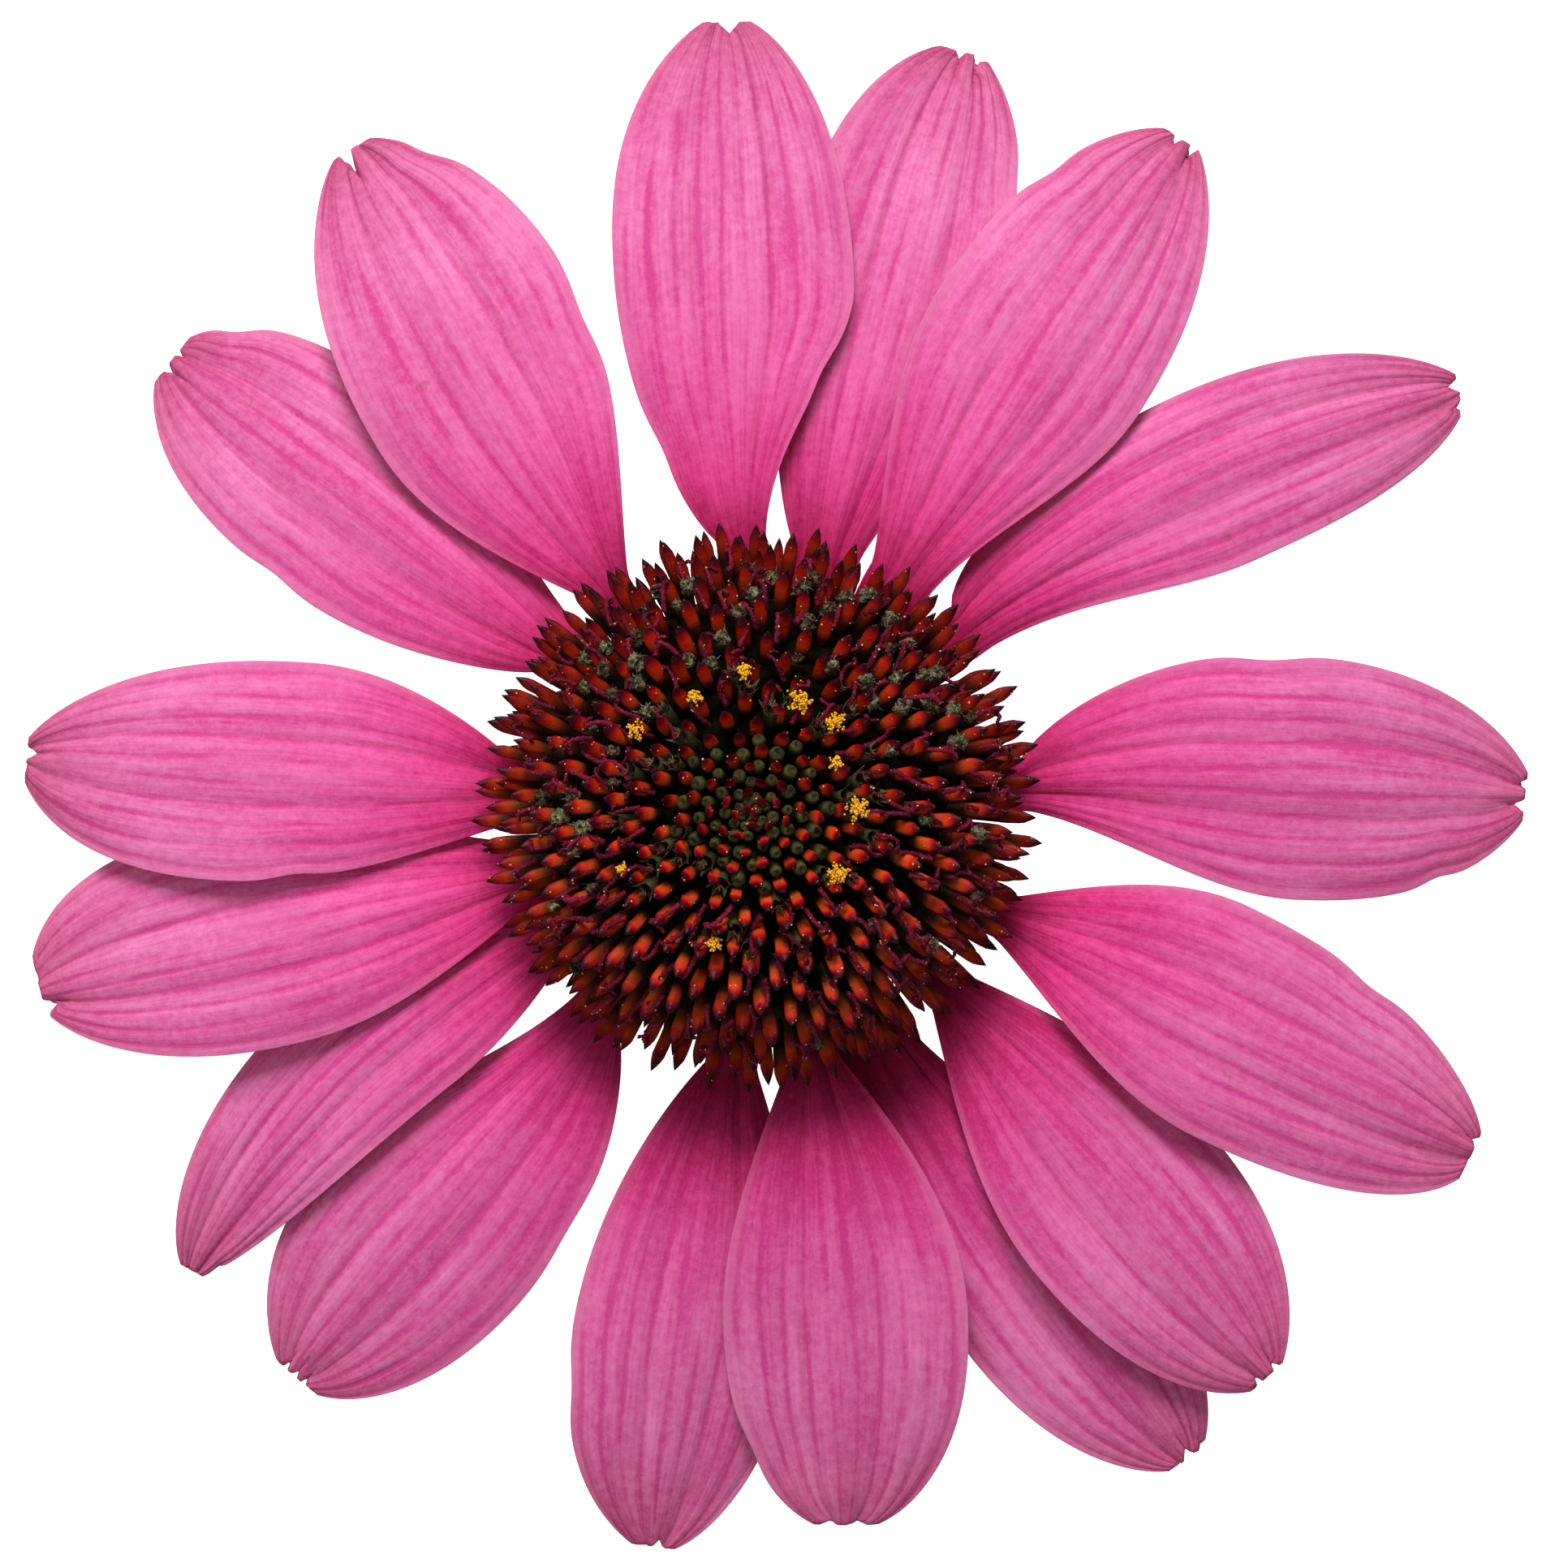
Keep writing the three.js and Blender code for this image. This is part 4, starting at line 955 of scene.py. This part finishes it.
def spine_material():
    """Orange-red lacquer over an olive foot painted near-black as shade, with a maroon point; redder and
    duller at the rim; painted shade on the first ray's side and on the edges, painted glints among pale
    specks.
    """
    material, tree, shader = new_material("spine_orange_red", Specular_IOR_Level=0.12)
    place = object_place(tree)
    grain, blotch, speck = skin(tree, place, Grain=3800.0, Blotch=900.0, Speck=1500.0)
    along, share, tone = attributes(tree, "along", "share", "chance")
    along = along + (tone - 0.5) * 0.05 + (blotch - 0.5) * 0.02
    # painted shade: the spines on the side of the first ray, whose tops face away from the key light
    north_shade = node(tree, "ShaderNodeSeparateXYZ", {0: place})[1].soft(*PAINTED_SHADE_NORTH_Y, 0.0, 0.9)
    # painted shade where a spine's sides turn away from the camera
    sides = node(tree, "ShaderNodeLayerWeight", {"Blend": 0.5})[1].soft(0.45, 0.95, 0.0, 0.7)
    colour = coated(
        tree, ramp(tree, along, YOUNG_SPINE),
        (share.soft(*INNER_R), ramp(tree, along, INNER_SPINE)),
        (share.soft(*OUTER_R), ramp(tree, along, OUTER_SPINE)),
        (north_shade, NORTH_PAINTED_SHADE, TINT),
        (sides, SIDE_PAINTED_SHADE, TINT),
        (tone.soft(0.5, 1.0, 0.0, 0.4), OLD_TINT, TINT),
        (blotch * 0.25, STAIN_TINT, TINT),
        # pale specks near the point: partly pollen dust and flakes, partly painted glints
        (speck * along.above(0.7) * 0.8, SPINE_DUST_AND_GLINT))
    finish(tree, shader, colour, grain + blotch, 0.03, along.soft(0.85, 0.97, 0.5, 0.3))
    return material


spiral = spiral_tree()
spine_lacquer = spine_material()
spine_meshes = [
    grown(f"spines_{number}", spiral, [spine_shape(kind, sections) for kind in range(SPINE_KINDS)],
          spine_lacquer, From=start, To=end, **SPINE_SPREAD)
    for number, sections, start, end in (
        (1, BLUNT_SPINE, 0.0, SHARP_FROM), (2, SHARP_SPINE, SHARP_FROM, PAST_RIM))
]
spine_meshes += [
    grown(f"flank_{ring}", whorl, [flank_shape(10 * ring + kind, *spot) for kind in range(SPINE_KINDS)],
          spine_lacquer, Count=count, Turn=turn, Stray=FLANK_STRAY, Size_Spread=FLANK_SIZE, Seed=70 + ring)
    for ring, (count, turn, *spot) in enumerate(FLANK_RINGS)
]
spines = piece("spines", joined("spines", spine_meshes), spine_lacquer, "cone")


# YOUNG BUDS
# Disc florets not yet open, in the middle of the cone: round olive-green buds, each with a small
# brown-purple hollow on top, one on the inner side of every young spine.
# radius, height and place in the colours, from the foot to the hollow
BUD_PROFILE = [(0.42, -3.4, 0.0), (0.5, -1.6, 0.2), (0.56, -0.75, 0.4), (0.57, -0.42, 0.55),
               (0.48, -0.14, 0.7), (0.33, -0.01, 0.8), (0.2, -0.03, 0.9), (0.06, -0.12, 1.0)]
BUD_SIDES, BUD_LOBES, LOBE_HIGH, BUD_KINDS = 9, 5, 0.05, 4
BUD_SPREAD = dict(To=0.36, Inward=1.0, Below=0.95, Stray=0.12, Tilt=6.0, Roll=90.0, Width_In=0.72,
                  Width_Out=1.5, Size_Spread=0.16, Seed=12)
# near-black low down: painted shade of the gaps between the florets
BUD_COLOURS = [(0.0, 4, 4, 1), (0.4, 14, 14, 4), (0.6, 40, 40, 10), (0.72, 64, 62, 20), (0.82, 34, 26, 10),
               (0.9, 26, 8, 10), (1.0, 12, 2, 5)]
BUD_TINT, BUD_STREAK, BUD_SPECK = (130, 130, 120), (96, 94, 34), (150, 104, 44)


def bud_shape(number):
    """A round bud on its tube, with its top at the origin."""
    draw = np.random.default_rng(100 + number)
    turn = around(BUD_SIDES)
    lobes = 1 + LOBE_HIGH * np.cos(BUD_LOBES * turn + draw.uniform(0, 6))
    radii, heights, places = zip(*BUD_PROFILE)
    rings = turned(turn, [(radius * lobes, height) for radius, height in zip(radii, heights)])
    return loft(f"bud_{number}", rings, along=places)


def bud_material():
    """Olive skin with fine pale streaks, painted near-black below as shade, and brown-purple in the hollow.
    """
    material, tree, shader = new_material("bud_olive", Roughness=0.55, Specular_IOR_Level=0.18)
    grain, blotch, speck = skin(tree, object_place(tree), Grain=4200.0, Blotch=1500.0)
    along, tone = attributes(tree, "along", "chance")
    colour = coated(
        tree, ramp(tree, along, BUD_COLOURS),
        (tone.soft(0.3, 1.0, 0.0, 0.6), BUD_TINT, TINT),
        (blotch * along.soft(0.4, 0.7) * 0.35, BUD_STREAK),
        (speck * 0.5, BUD_SPECK))
    finish(tree, shader, colour, grain + blotch, 0.05)
    return material


bud_olive = bud_material()
bud_shapes = [bud_shape(kind) for kind in range(BUD_KINDS)]
bud_mesh = grown("young_buds", spiral, bud_shapes, bud_olive, **BUD_SPREAD)
young_buds = piece("young_buds", bud_mesh, bud_olive, "cone")


# OPEN FLORETS
# Disc florets in flower, in the ring round the buds: a green-brown tube that opens in five pointed
# teeth, painted dark inside as shade, with the tan tips of its anthers as a small star.
# radius, height and place in the colours, from the foot, over the mouth, to the dark inside
TUBE_PROFILE = [(0.4, -3.6, 0.0), (0.46, -1.6, 0.25), (0.56, -0.5, 0.45), (0.6, -0.1, 0.5),
                (0.54, -0.06, 0.55), (0.44, -0.3, 0.62), (0.3, -0.8, 0.64)]
TUBE_SIDES, TEETH, OPEN_KINDS = 10, 5, 4
MOUTH_R, MOUTH_Z = 0.5, -0.14
TOOTH_LONG, TOOTH_HALF = 0.62, 0.2
ANTHER_LONG, ANTHER_HALF, ANTHER_Z, ANTHER_TURN = 0.42, 0.07, 0.1, 0.6
LOBE_POINT, LOBE_LEAST, LOBE_FLATTER = 1.6, 0.02, 0.6  # how a small lobe narrows to its point
OPEN_SPREAD = dict(From=0.33, To=0.6, Kept=0.42, Inward=1.3, Below=1.0, Stray=0.25, Tilt=9.0, Roll=180.0,
                   Size_Spread=0.15, Seed=21)
# near-black at the foot and just inside the mouth: painted shade of the gaps and of the throat
OPEN_COLOURS = [(0.0, 8, 7, 3), (0.3, 22, 22, 8), (0.48, 62, 66, 28), (0.56, 44, 34, 18), (0.63, 8, 4, 3),
                (0.7, 66, 72, 34), (0.8, 92, 88, 48), (0.95, 140, 96, 44)]
OPEN_BLOTCH, OPEN_TINT, OPEN_POLLEN = (52, 34, 22), (150, 140, 120), (214, 140, 40)


def petal_tooth(name, start, ahead, length, half, curl, flat, place, steps=4):
    """A small pointed lobe from start in the direction ahead, curling up as it goes."""
    ahead, up = unit(np.array(ahead, float)), np.array((0, 0, 1))
    side = unit(np.cross(up, ahead))
    rings = []
    for share in np.linspace(0, 1, steps):
        middle = np.array(start) + ahead * length * share + np.array((0, 0, curl)) * share**2
        wide = half * (1 - share**LOBE_POINT) + LOBE_LEAST
        high = 1 - LOBE_FLATTER * share
        rings.append([middle + side * wide * math.cos(t) + up * flat * math.sin(t) * high
                      for t in (math.pi / 2 * k for k in (3, 2, 1, 0))])
    return loft(name, rings, along=np.full(steps, place))


def open_shape(number):
    """An open floret, with its mouth at the origin."""
    draw = np.random.default_rng(200 + number)
    radii, heights, places = zip(*TUBE_PROFILE)
    parts = [loft("tube", turned(around(TUBE_SIDES), zip(radii, heights)), along=places)]
    for k in range(TEETH):
        angle = FULL_TURN * k / TEETH + draw.uniform(-0.2, 0.2)
        way = (math.cos(angle), math.sin(angle))
        start = (MOUTH_R * way[0], MOUTH_R * way[1], MOUTH_Z)
        ahead = (way[0] * draw.uniform(0.2, 0.9), way[1] * draw.uniform(0.2, 0.9), draw.uniform(0.6, 1.0))
        parts.append(petal_tooth("tooth", start, ahead, TOOTH_LONG * draw.uniform(0.8, 1.2), TOOTH_HALF,
                                 curl=0.1, flat=0.05, place=0.75))
        angle += ANTHER_TURN
        ahead = (math.cos(angle), math.sin(angle), draw.uniform(0.3, 1.2))
        parts.append(petal_tooth("anther", (0, 0, ANTHER_Z), ahead, ANTHER_LONG, ANTHER_HALF,
                                 curl=0.05, flat=0.06, place=1.0, steps=3))
    return joined(f"open_{number}", parts)


def open_material():
    """Green-brown tube, painted near-black as shade at its foot and inside, with straw-green teeth and tan
    anthers.
    """
    material, tree, shader = new_material("floret_olive", Roughness=0.55, Specular_IOR_Level=0.2)
    grain, blotch, speck = skin(tree, object_place(tree), Grain=3600.0, Blotch=1300.0)
    along, tone = attributes(tree, "along", "chance")
    colour = coated(
        tree, ramp(tree, along, OPEN_COLOURS),
        (blotch * along.soft(0.3, 0.45) * 0.55, OPEN_BLOTCH),
        (tone.soft(0.4, 1.0, 0.0, 0.5), OPEN_TINT, TINT),
        (speck * 0.7, OPEN_POLLEN))
    finish(tree, shader, colour, grain + blotch, 0.05)
    return material


floret_olive = open_material()
open_shapes = [open_shape(kind) for kind in range(OPEN_KINDS)]
open_mesh = grown("open_florets", spiral, open_shapes, floret_olive, **OPEN_SPREAD)
open_florets = piece("open_florets", open_mesh, floret_olive, "cone")


# WITHERED FLORETS
# Disc florets past flower, between the outer spines: shrunken grey-green crumples with a few bleached,
# curled teeth. More of them show on the side of the first ray.
CRUMPLE_HALF, CRUMPLE_TALL, CRUMPLE_SIDES, CRUMPLE_ROWS = 0.56, 1.1, 11, 9
CRUMPLE_FROM, CRUMPLE_TO = 0.12, 0.9  # where the crumple begins and ends, on a half circle
DENTS, UNEVEN = (0.35, 1.4), 0.14  # how far its skin goes in and out, and up and down
CURLS, CURL_HALF, CURL_FLAT, CURL_R, CURL_Z = 7, 0.12, 0.03, 0.3, 0.25
WITHERED_KINDS = 5
WITHERED_SPREAD = dict(From=0.6, To=0.97, Kept=0.3, More_North=0.3, Inward=1.2, Below=1.5, Stray=0.4,
                       Tilt=20.0, Roll=180.0, Size_Spread=0.25, Width_In=0.7, Width_Out=1.05, Seed=33)
WITHERED_DARK, WITHERED_GREY = (66, 60, 40), (172, 164, 124)
BROWN_DARK, BROWN_PALE = (44, 26, 20), (136, 104, 78)
BLEACHED, CREVICE_PAINTED_SHADE, WITHERED_SPECK = (196, 188, 152), (18, 16, 12), (200, 180, 140)


def withered_shape(number):
    """A crumpled floret, with its middle at the origin."""
    draw = np.random.default_rng(300 + number)
    spots = []
    for level in np.linspace(CRUMPLE_FROM, CRUMPLE_TO, CRUMPLE_ROWS) * math.pi:
        wide = CRUMPLE_HALF * math.sin(level) * draw.uniform(*DENTS, CRUMPLE_SIDES)
        height = -CRUMPLE_HALF * math.cos(level) * CRUMPLE_TALL
        height = height + draw.uniform(-UNEVEN, UNEVEN, CRUMPLE_SIDES)
        spots.append((wide, height))
    parts = [loft("crumple", turned(around(CRUMPLE_SIDES), spots), along=np.full(CRUMPLE_ROWS, 0.3))]
    for k in range(CURLS):
        angle = 0.9 * k + draw.uniform(0, 0.6)
        ahead = (math.cos(angle), math.sin(angle), draw.uniform(0, 1.2))
        parts.append(petal_tooth("tooth", (CURL_R * ahead[0], CURL_R * ahead[1], CURL_Z), ahead,
                                 draw.uniform(0.3, 0.65), CURL_HALF, draw.uniform(-0.4, 0.3), CURL_FLAT,
                                 draw.uniform(0.4, 1.0)))
    return joined(f"withered_{number}", parts)


def withered_material():
    """Dull grey-green to brown-black, with bleached teeth and painted shade in its crevices."""
    material, tree, shader = new_material("floret_withered", Roughness=0.9, Specular_IOR_Level=0.05)
    grain, blotch, speck = skin(tree, object_place(tree), Grain=5200.0, Blotch=2400.0)
    along, tone = attributes(tree, "along", "chance")
    colour = coated(
        tree, mixed(tree, blotch, WITHERED_DARK, WITHERED_GREY),
        (tone.soft(0.5, 0.9), mixed(tree, blotch, BROWN_DARK, BROWN_PALE)),
        (along.soft(0.5, 0.9, 0.0, 0.6), BLEACHED),
        # painted shade in the crevices of the crumple
        (grain.soft(0.55, 0.35, 0.0, 0.7), CREVICE_PAINTED_SHADE),
        (speck * 0.7, WITHERED_SPECK))
    finish(tree, shader, colour, grain + blotch, 0.2)
    return material


floret_withered = withered_material()
withered_shapes = [withered_shape(kind) for kind in range(WITHERED_KINDS)]
withered_mesh = grown("withered_florets", spiral, withered_shapes, floret_withered, **WITHERED_SPREAD)
withered_florets = piece("withered_florets", withered_mesh, floret_withered, "cone")


# STYLES
# What reaches out of the older florets: crimson threads covered in tiny beads, limp and curling
# outwards over the spines.
STYLE_HALF, STYLE_SIDES, STYLE_STEPS, STYLE_KINDS = 0.19, 6, 30, 7
STYLE_LONG, STYLE_COIL, STYLE_SWAY = (2.4, 4.6), (0.15, 0.4), 0.8
STYLE_TAPER, STYLE_END = 0.35, 0.4
STYLE_START_Z, STYLE_ARCH = -0.7, 1.3
BEAD_SHARE, BEAD_SIZES = 0.16, (0.72, 1.3)  # how much wider every other ring is, and how uneven the beads
STYLE_SPREAD = dict(From=0.42, To=0.95, Kept=0.8, Inward=1.2, Below=0.6, Aside=0.4, Stray=0.35, Tilt=10.0,
                    Roll=32.0, Size_Spread=0.15, Seed=45)
CRIMSON, DARK_CRIMSON, VIOLET_BLACK = (142, 14, 54), (88, 6, 32), (50, 5, 18)
BEAD_PAINTED_HIGHLIGHT, STYLE_POLLEN = (206, 84, 124), (226, 120, 50)


def style_shape(number):
    """A style from its floret's mouth at the origin, that bends over and runs out along +X."""
    draw = np.random.default_rng(400 + number)
    length = draw.uniform(*STYLE_LONG)
    share = np.linspace(0, 1, STYLE_STEPS)
    sway, coil = draw.uniform(-STYLE_SWAY, STYLE_SWAY, 2), draw.uniform(*STYLE_COIL)
    x = length * share * (1 - 0.3 * share**2) + coil * np.sin(9 * share + sway[0] * 4)
    y = sway[0] * np.sin(3.2 * share) + 0.3 * sway[1] * np.sin(8 * share)
    z = STYLE_START_Z + STYLE_ARCH * np.sin(math.pi * np.minimum(1, share * 1.1) * 0.75)
    z = z + 0.25 * np.sin(11 * share + sway[1] * 5)
    line = np.stack([x, y, z], -1)
    ahead = unit(np.gradient(line, axis=0))
    side = unit(np.cross(ahead, (0, 0.3, 1)))
    above = np.cross(side, ahead)
    turn = around(STYLE_SIDES)
    rough = draw.uniform(*BEAD_SIZES, (STYLE_STEPS, STYLE_SIDES))
    half = STYLE_HALF * (1 - STYLE_TAPER * share)[:, None] * rough
    half *= 1 + BEAD_SHARE * np.cos(math.pi * np.arange(STYLE_STEPS))[:, None]
    half[-1] *= STYLE_END
    rings = line[:, None] + half[..., None] * (
        side[:, None] * np.cos(turn)[None, :, None] - above[:, None] * np.sin(turn)[None, :, None])
    return loft(f"style_{number}", rings, along=share)


def style_material():
    """Crimson to violet-black, wet-looking and beaded, with painted pink highlights on the beads."""
    material, tree, shader = new_material("style_crimson", Roughness=0.45, Specular_IOR_Level=0.12)
    grain, blotch, speck = skin(tree, object_place(tree), Grain=5200.0, Blotch=1000.0, Speck=2600.0)
    colour = coated(
        tree, mixed(tree, attributes(tree, "chance")[0], CRIMSON, DARK_CRIMSON),
        (blotch * 0.6, VIOLET_BLACK),
        # painted pink highlights on the beads
        (grain.soft(0.54, 0.72, 0.0, 0.5), BEAD_PAINTED_HIGHLIGHT),
        (speck * 0.8, STYLE_POLLEN))
    finish(tree, shader, colour, grain, 0.16)
    return material


style_crimson = style_material()
style_shapes = [style_shape(kind) for kind in range(STYLE_KINDS)]
style_mesh = grown("styles", spiral, style_shapes, style_crimson, **STYLE_SPREAD)
styles = piece("styles", style_mesh, style_crimson, "cone")


# POLLEN
# Bright yellow grains: starry clumps on the anthers that opened last, and dust that clings to the
# styles and to the points of the spines. A dark tube of anthers stands under each clump.
# place of each clump across the head, and how wide it is
CLUMPS = [(-4.6, 8.0, 1.2), (-8.9, 5.6, 1.35), (-1.0, 9.9, 1.2), (3.1, 7.7, 1.7), (5.6, 6.2, 1.5),
          (5.6, 3.2, 1.1), (7.2, -0.1, 1.7), (5.8, -4.9, 1.65), (-3.2, -9.9, 1.2), (-9.9, -4.5, 0.9)]
CLUMP_RAYS, CLUMP_GRAINS, CLUMP_WIDE = 5, 120, 1.5  # arms, and grains in a clump of this width
CLUMP_HIGH, CLUMP_STRAY = 0.35, 0.085
CLUMP_BELOW = 0.55  # how far a clump lies under the points of the spines
# share of the tube's half width, share of its length below the top, and place in the colours
ANTHER_TUBE = [(0.9, 1, 0.3), (1, 0.4, 0.62), (1.2, 0.05, 0.62), (0.7, 0, 0.95)]
ANTHER_TUBE_HALF, ANTHER_TUBE_LONG, ANTHER_TUBE_SIDES = 0.4, 3.2, 9
GRAIN_R, GRAIN_SIDES, GRAIN_LEVELS = 0.085, 5, (0.5, 1.2, 1.95, 2.65)
DUST_ON_STYLES, DUST_ON_SPINES, DUST_SIZE = 0.9, 0.6, 0.7  # grains a square millimetre, and their size
STYLES_FROM, SPINES_FROM = 0.2, 0.78  # where on them the dust begins
FRESH_YELLOW, DEEP_YELLOW = (255, 206, 34), (250, 172, 14)
OLD_ORANGE, OLD_PALE = (226, 122, 34), (224, 200, 160)
ARM_CROWDING, ARM_LONG = 0.8, 0.9  # how the grains crowd to an arm's root, and its share of the half width


def clump_height(x, y):
    """Height of a clump's middle, a little under the tips of the spines at its place."""
    radius = math.hypot(x, y)
    level = np.sqrt(np.maximum(0, 1 - (radius / DOME_R) ** 2))
    return DOME_Z + DOME_RISE * level - DIMPLE * np.exp(-((radius / DIMPLE_R) ** 2)) - CLUMP_BELOW


def clump_points():
    """Places of the grains in the starry clumps."""
    draw = np.random.default_rng(500)
    points = []
    for x, y, wide in CLUMPS:
        start = draw.uniform(0, FULL_TURN)
        count = int(CLUMP_GRAINS * (wide / CLUMP_WIDE) ** 2)
        arm = start + FULL_TURN * draw.integers(0, CLUMP_RAYS, count) / CLUMP_RAYS
        out = wide / 2 * draw.uniform(0, 1, count) ** ARM_CROWDING * ARM_LONG
        place = np.stack([out * np.cos(arm), out * np.sin(arm), CLUMP_HIGH * (1 - out / wide)], -1)
        place += draw.normal(0, CLUMP_STRAY, (count, 3)) * wide
        points.append(place + (x, y, clump_height(x, y)))
    return np.concatenate(points)


def anther_tubes():
    """A dark upright tube under each clump."""
    tubes = []
    for x, y, _ in CLUMPS:
        top = clump_height(x, y)
        spots = [(ANTHER_TUBE_HALF * wide, top - ANTHER_TUBE_LONG * down) for wide, down, _ in ANTHER_TUBE]
        rings = np.array(turned(around(ANTHER_TUBE_SIDES), spots)) + (x, y, 0)
        # in the open florets' colours: near-black from their painted shade stops, tan at the top
        tubes.append(loft("tube", rings, along=[place for _, _, place in ANTHER_TUBE],
                          chance=np.zeros(len(ANTHER_TUBE))))
    return in_metres(joined("anther_tubes", tubes))


def pollen_tree():
    """Grains at a mesh's points, and strewn over the faces of two carriers."""
    tree, given = new_tree("pollen", Clumps="Object", Styles="Object", Spines="Object", On_Styles=1.0,
                           On_Spines=0.3, Dust_Size=1.0, Size_Spread=0.35, Seed=1)
    seed = given["Seed"]
    clumps = node(tree, "GeometryNodeMeshToPoints", {0: carrier_mesh(tree, given["Clumps"])})[0]
    along = kept_value(tree, "along")
    every = node(tree, "GeometryNodeJoinGeometry")[0]
    gather = every.socket.node.inputs[0]
    tree.links.new(keep(tree, clumps, "loose", 0.0).socket, gather)
    for name, low in (("Styles", STYLES_FROM), ("Spines", SPINES_FROM)):
        inputs = {0: carrier_mesh(tree, given[name]), 1: along.above(low), 4: given[f"On_{name}"], 6: seed}
        strewn = node(tree, "GeometryNodeDistributePointsOnFaces", inputs)[0]
        tree.links.new(keep(tree, strewn, "loose", 1.0).socket, gather)
    points = keep(tree, every, "chance", chance(tree, seed, 0))
    smaller = kept_value(tree, "loose") * (1.0 - given["Dust_Size"])
    size = 1.0 + given["Size_Spread"] * either_way(tree, seed, 1) - smaller
    turn = vector(tree, chance(tree, seed, 2, 0.0, 6.3), chance(tree, seed, 3, 0.0, 6.3))
    return planted(tree, given, points, turn, vector(tree, size, size, size))


def grain_shape():
    """A grain of pollen: a rough ball of few faces."""
    spots = [(GRAIN_R * math.sin(level), -GRAIN_R * math.cos(level)) for level in GRAIN_LEVELS]
    return loft("grain", turned(around(GRAIN_SIDES), spots), along=np.zeros(len(spots)))


def pollen_material():
    """Saturated yellow, more orange where it has lain on styles and spines."""
    material, tree, shader = new_material("pollen_yellow", Roughness=0.6)
    loose, tone = attributes(tree, "loose", "chance")
    colour = mixed(tree, tone, FRESH_YELLOW, DEEP_YELLOW)
    old = mixed(tree, tone.above(0.6), OLD_ORANGE, OLD_PALE)
    finish(tree, shader, mixed(tree, loose * tone.soft(0.15, 0.3), colour, old))
    return material


clump_mesh = bpy.data.meshes.new("clumps")
clump_mesh.from_pydata(clump_points().tolist(), [], [])
clumps = placed("clumps", clump_mesh)
pollen_yellow = pollen_material()
pollen_mesh = grown("pollen", pollen_tree(), [grain_shape()], pollen_yellow, Clumps=clumps, Styles=styles,
                    Spines=spines, On_Styles=DUST_ON_STYLES, On_Spines=DUST_ON_SPINES, Dust_Size=DUST_SIZE,
                    Seed=61)
bpy.data.objects.remove(clumps)
piece("anther_tubes", anther_tubes(), floret_olive, "cone")
piece("pollen", in_metres(pollen_mesh), pollen_yellow, "cone")
for organ in (spines, young_buds, open_florets, withered_florets, styles):
    in_metres(organ.data)


# STUDIO
# A plain pale surface that the head lies on, one large soft light from the side of the first ray,
# an even fill all round, and a camera that looks straight down.
FLOOR_SIZE = 1600
FLOOR_GLOW = 1.0  # the white that the camera sees on top of the light that falls there
KEY = dict(place=(-100, 1330, 1330), size=800, watts=35)
FILL = dict(place=(-1200, -700, 1200), size=900, watts=4.0)
LIT_POINT = (0, 0, 12)
SKY = 0.24
SIGHT = (1.88, 1.70)  # the point under the middle of the picture
CAMERA_Z, SHARP_Z = 700.0, 7.0
PICTURE_PX, PX_PER_MM = 1932, 16.5  # the photograph's frame, and its scale at SHARP_Z
SENSOR = 36.0
WHITE = (1, 1, 1, 1)

floor_mesh = bpy.data.meshes.new("floor")
reach = FLOOR_SIZE / 2 * MM
floor_mesh.from_pydata([(-reach, -reach, 0), (reach, -reach, 0), (reach, reach, 0), (-reach, reach, 0)],
                       [], [(0, 1, 2, 3)])
floor = placed("floor", floor_mesh)
floor_material, floor_tree, floor_shader = new_material(
    "pale_floor", Base_Color=(0.9, 0.9, 0.9, 1), Roughness=0.9, Specular_IOR_Level=0.1, Emission_Color=WHITE)
glow = node(floor_tree, "ShaderNodeLightPath")[0] * FLOOR_GLOW
floor_tree.links.new(glow.socket, floor_shader.inputs["Emission Strength"])
floor.data.materials.append(floor_material)


def soft_light(name, place, size, watts):
    """A square soft box that faces the middle of the cone."""
    lamp = bpy.data.lights.new(name, "AREA")
    lamp.shape = "SQUARE"
    lamp.size = size * MM
    lamp.energy = watts
    box = placed(name, lamp)
    box.location = Vector(place) * MM
    box.rotation_euler = (Vector(LIT_POINT) * MM - box.location).to_track_quat("-Z", "Y").to_euler()


soft_light("key", **KEY)
soft_light("fill", **FILL)
world = bpy.data.worlds.new("studio")
world.use_nodes = True
sky = world.node_tree.nodes["Background"]
sky.inputs["Color"].default_value = WHITE
sky.inputs["Strength"].default_value = SKY
bpy.context.scene.world = world
bpy.context.scene.view_settings.view_transform = "Standard"

lens = bpy.data.cameras.new("camera")
lens.sensor_width = SENSOR
lens.lens = SENSOR * PX_PER_MM * (CAMERA_Z - SHARP_Z) / PICTURE_PX
camera = placed("camera", lens)
camera.location = (SIGHT[0] * MM, SIGHT[1] * MM, CAMERA_Z * MM)
bpy.context.scene.camera = camera
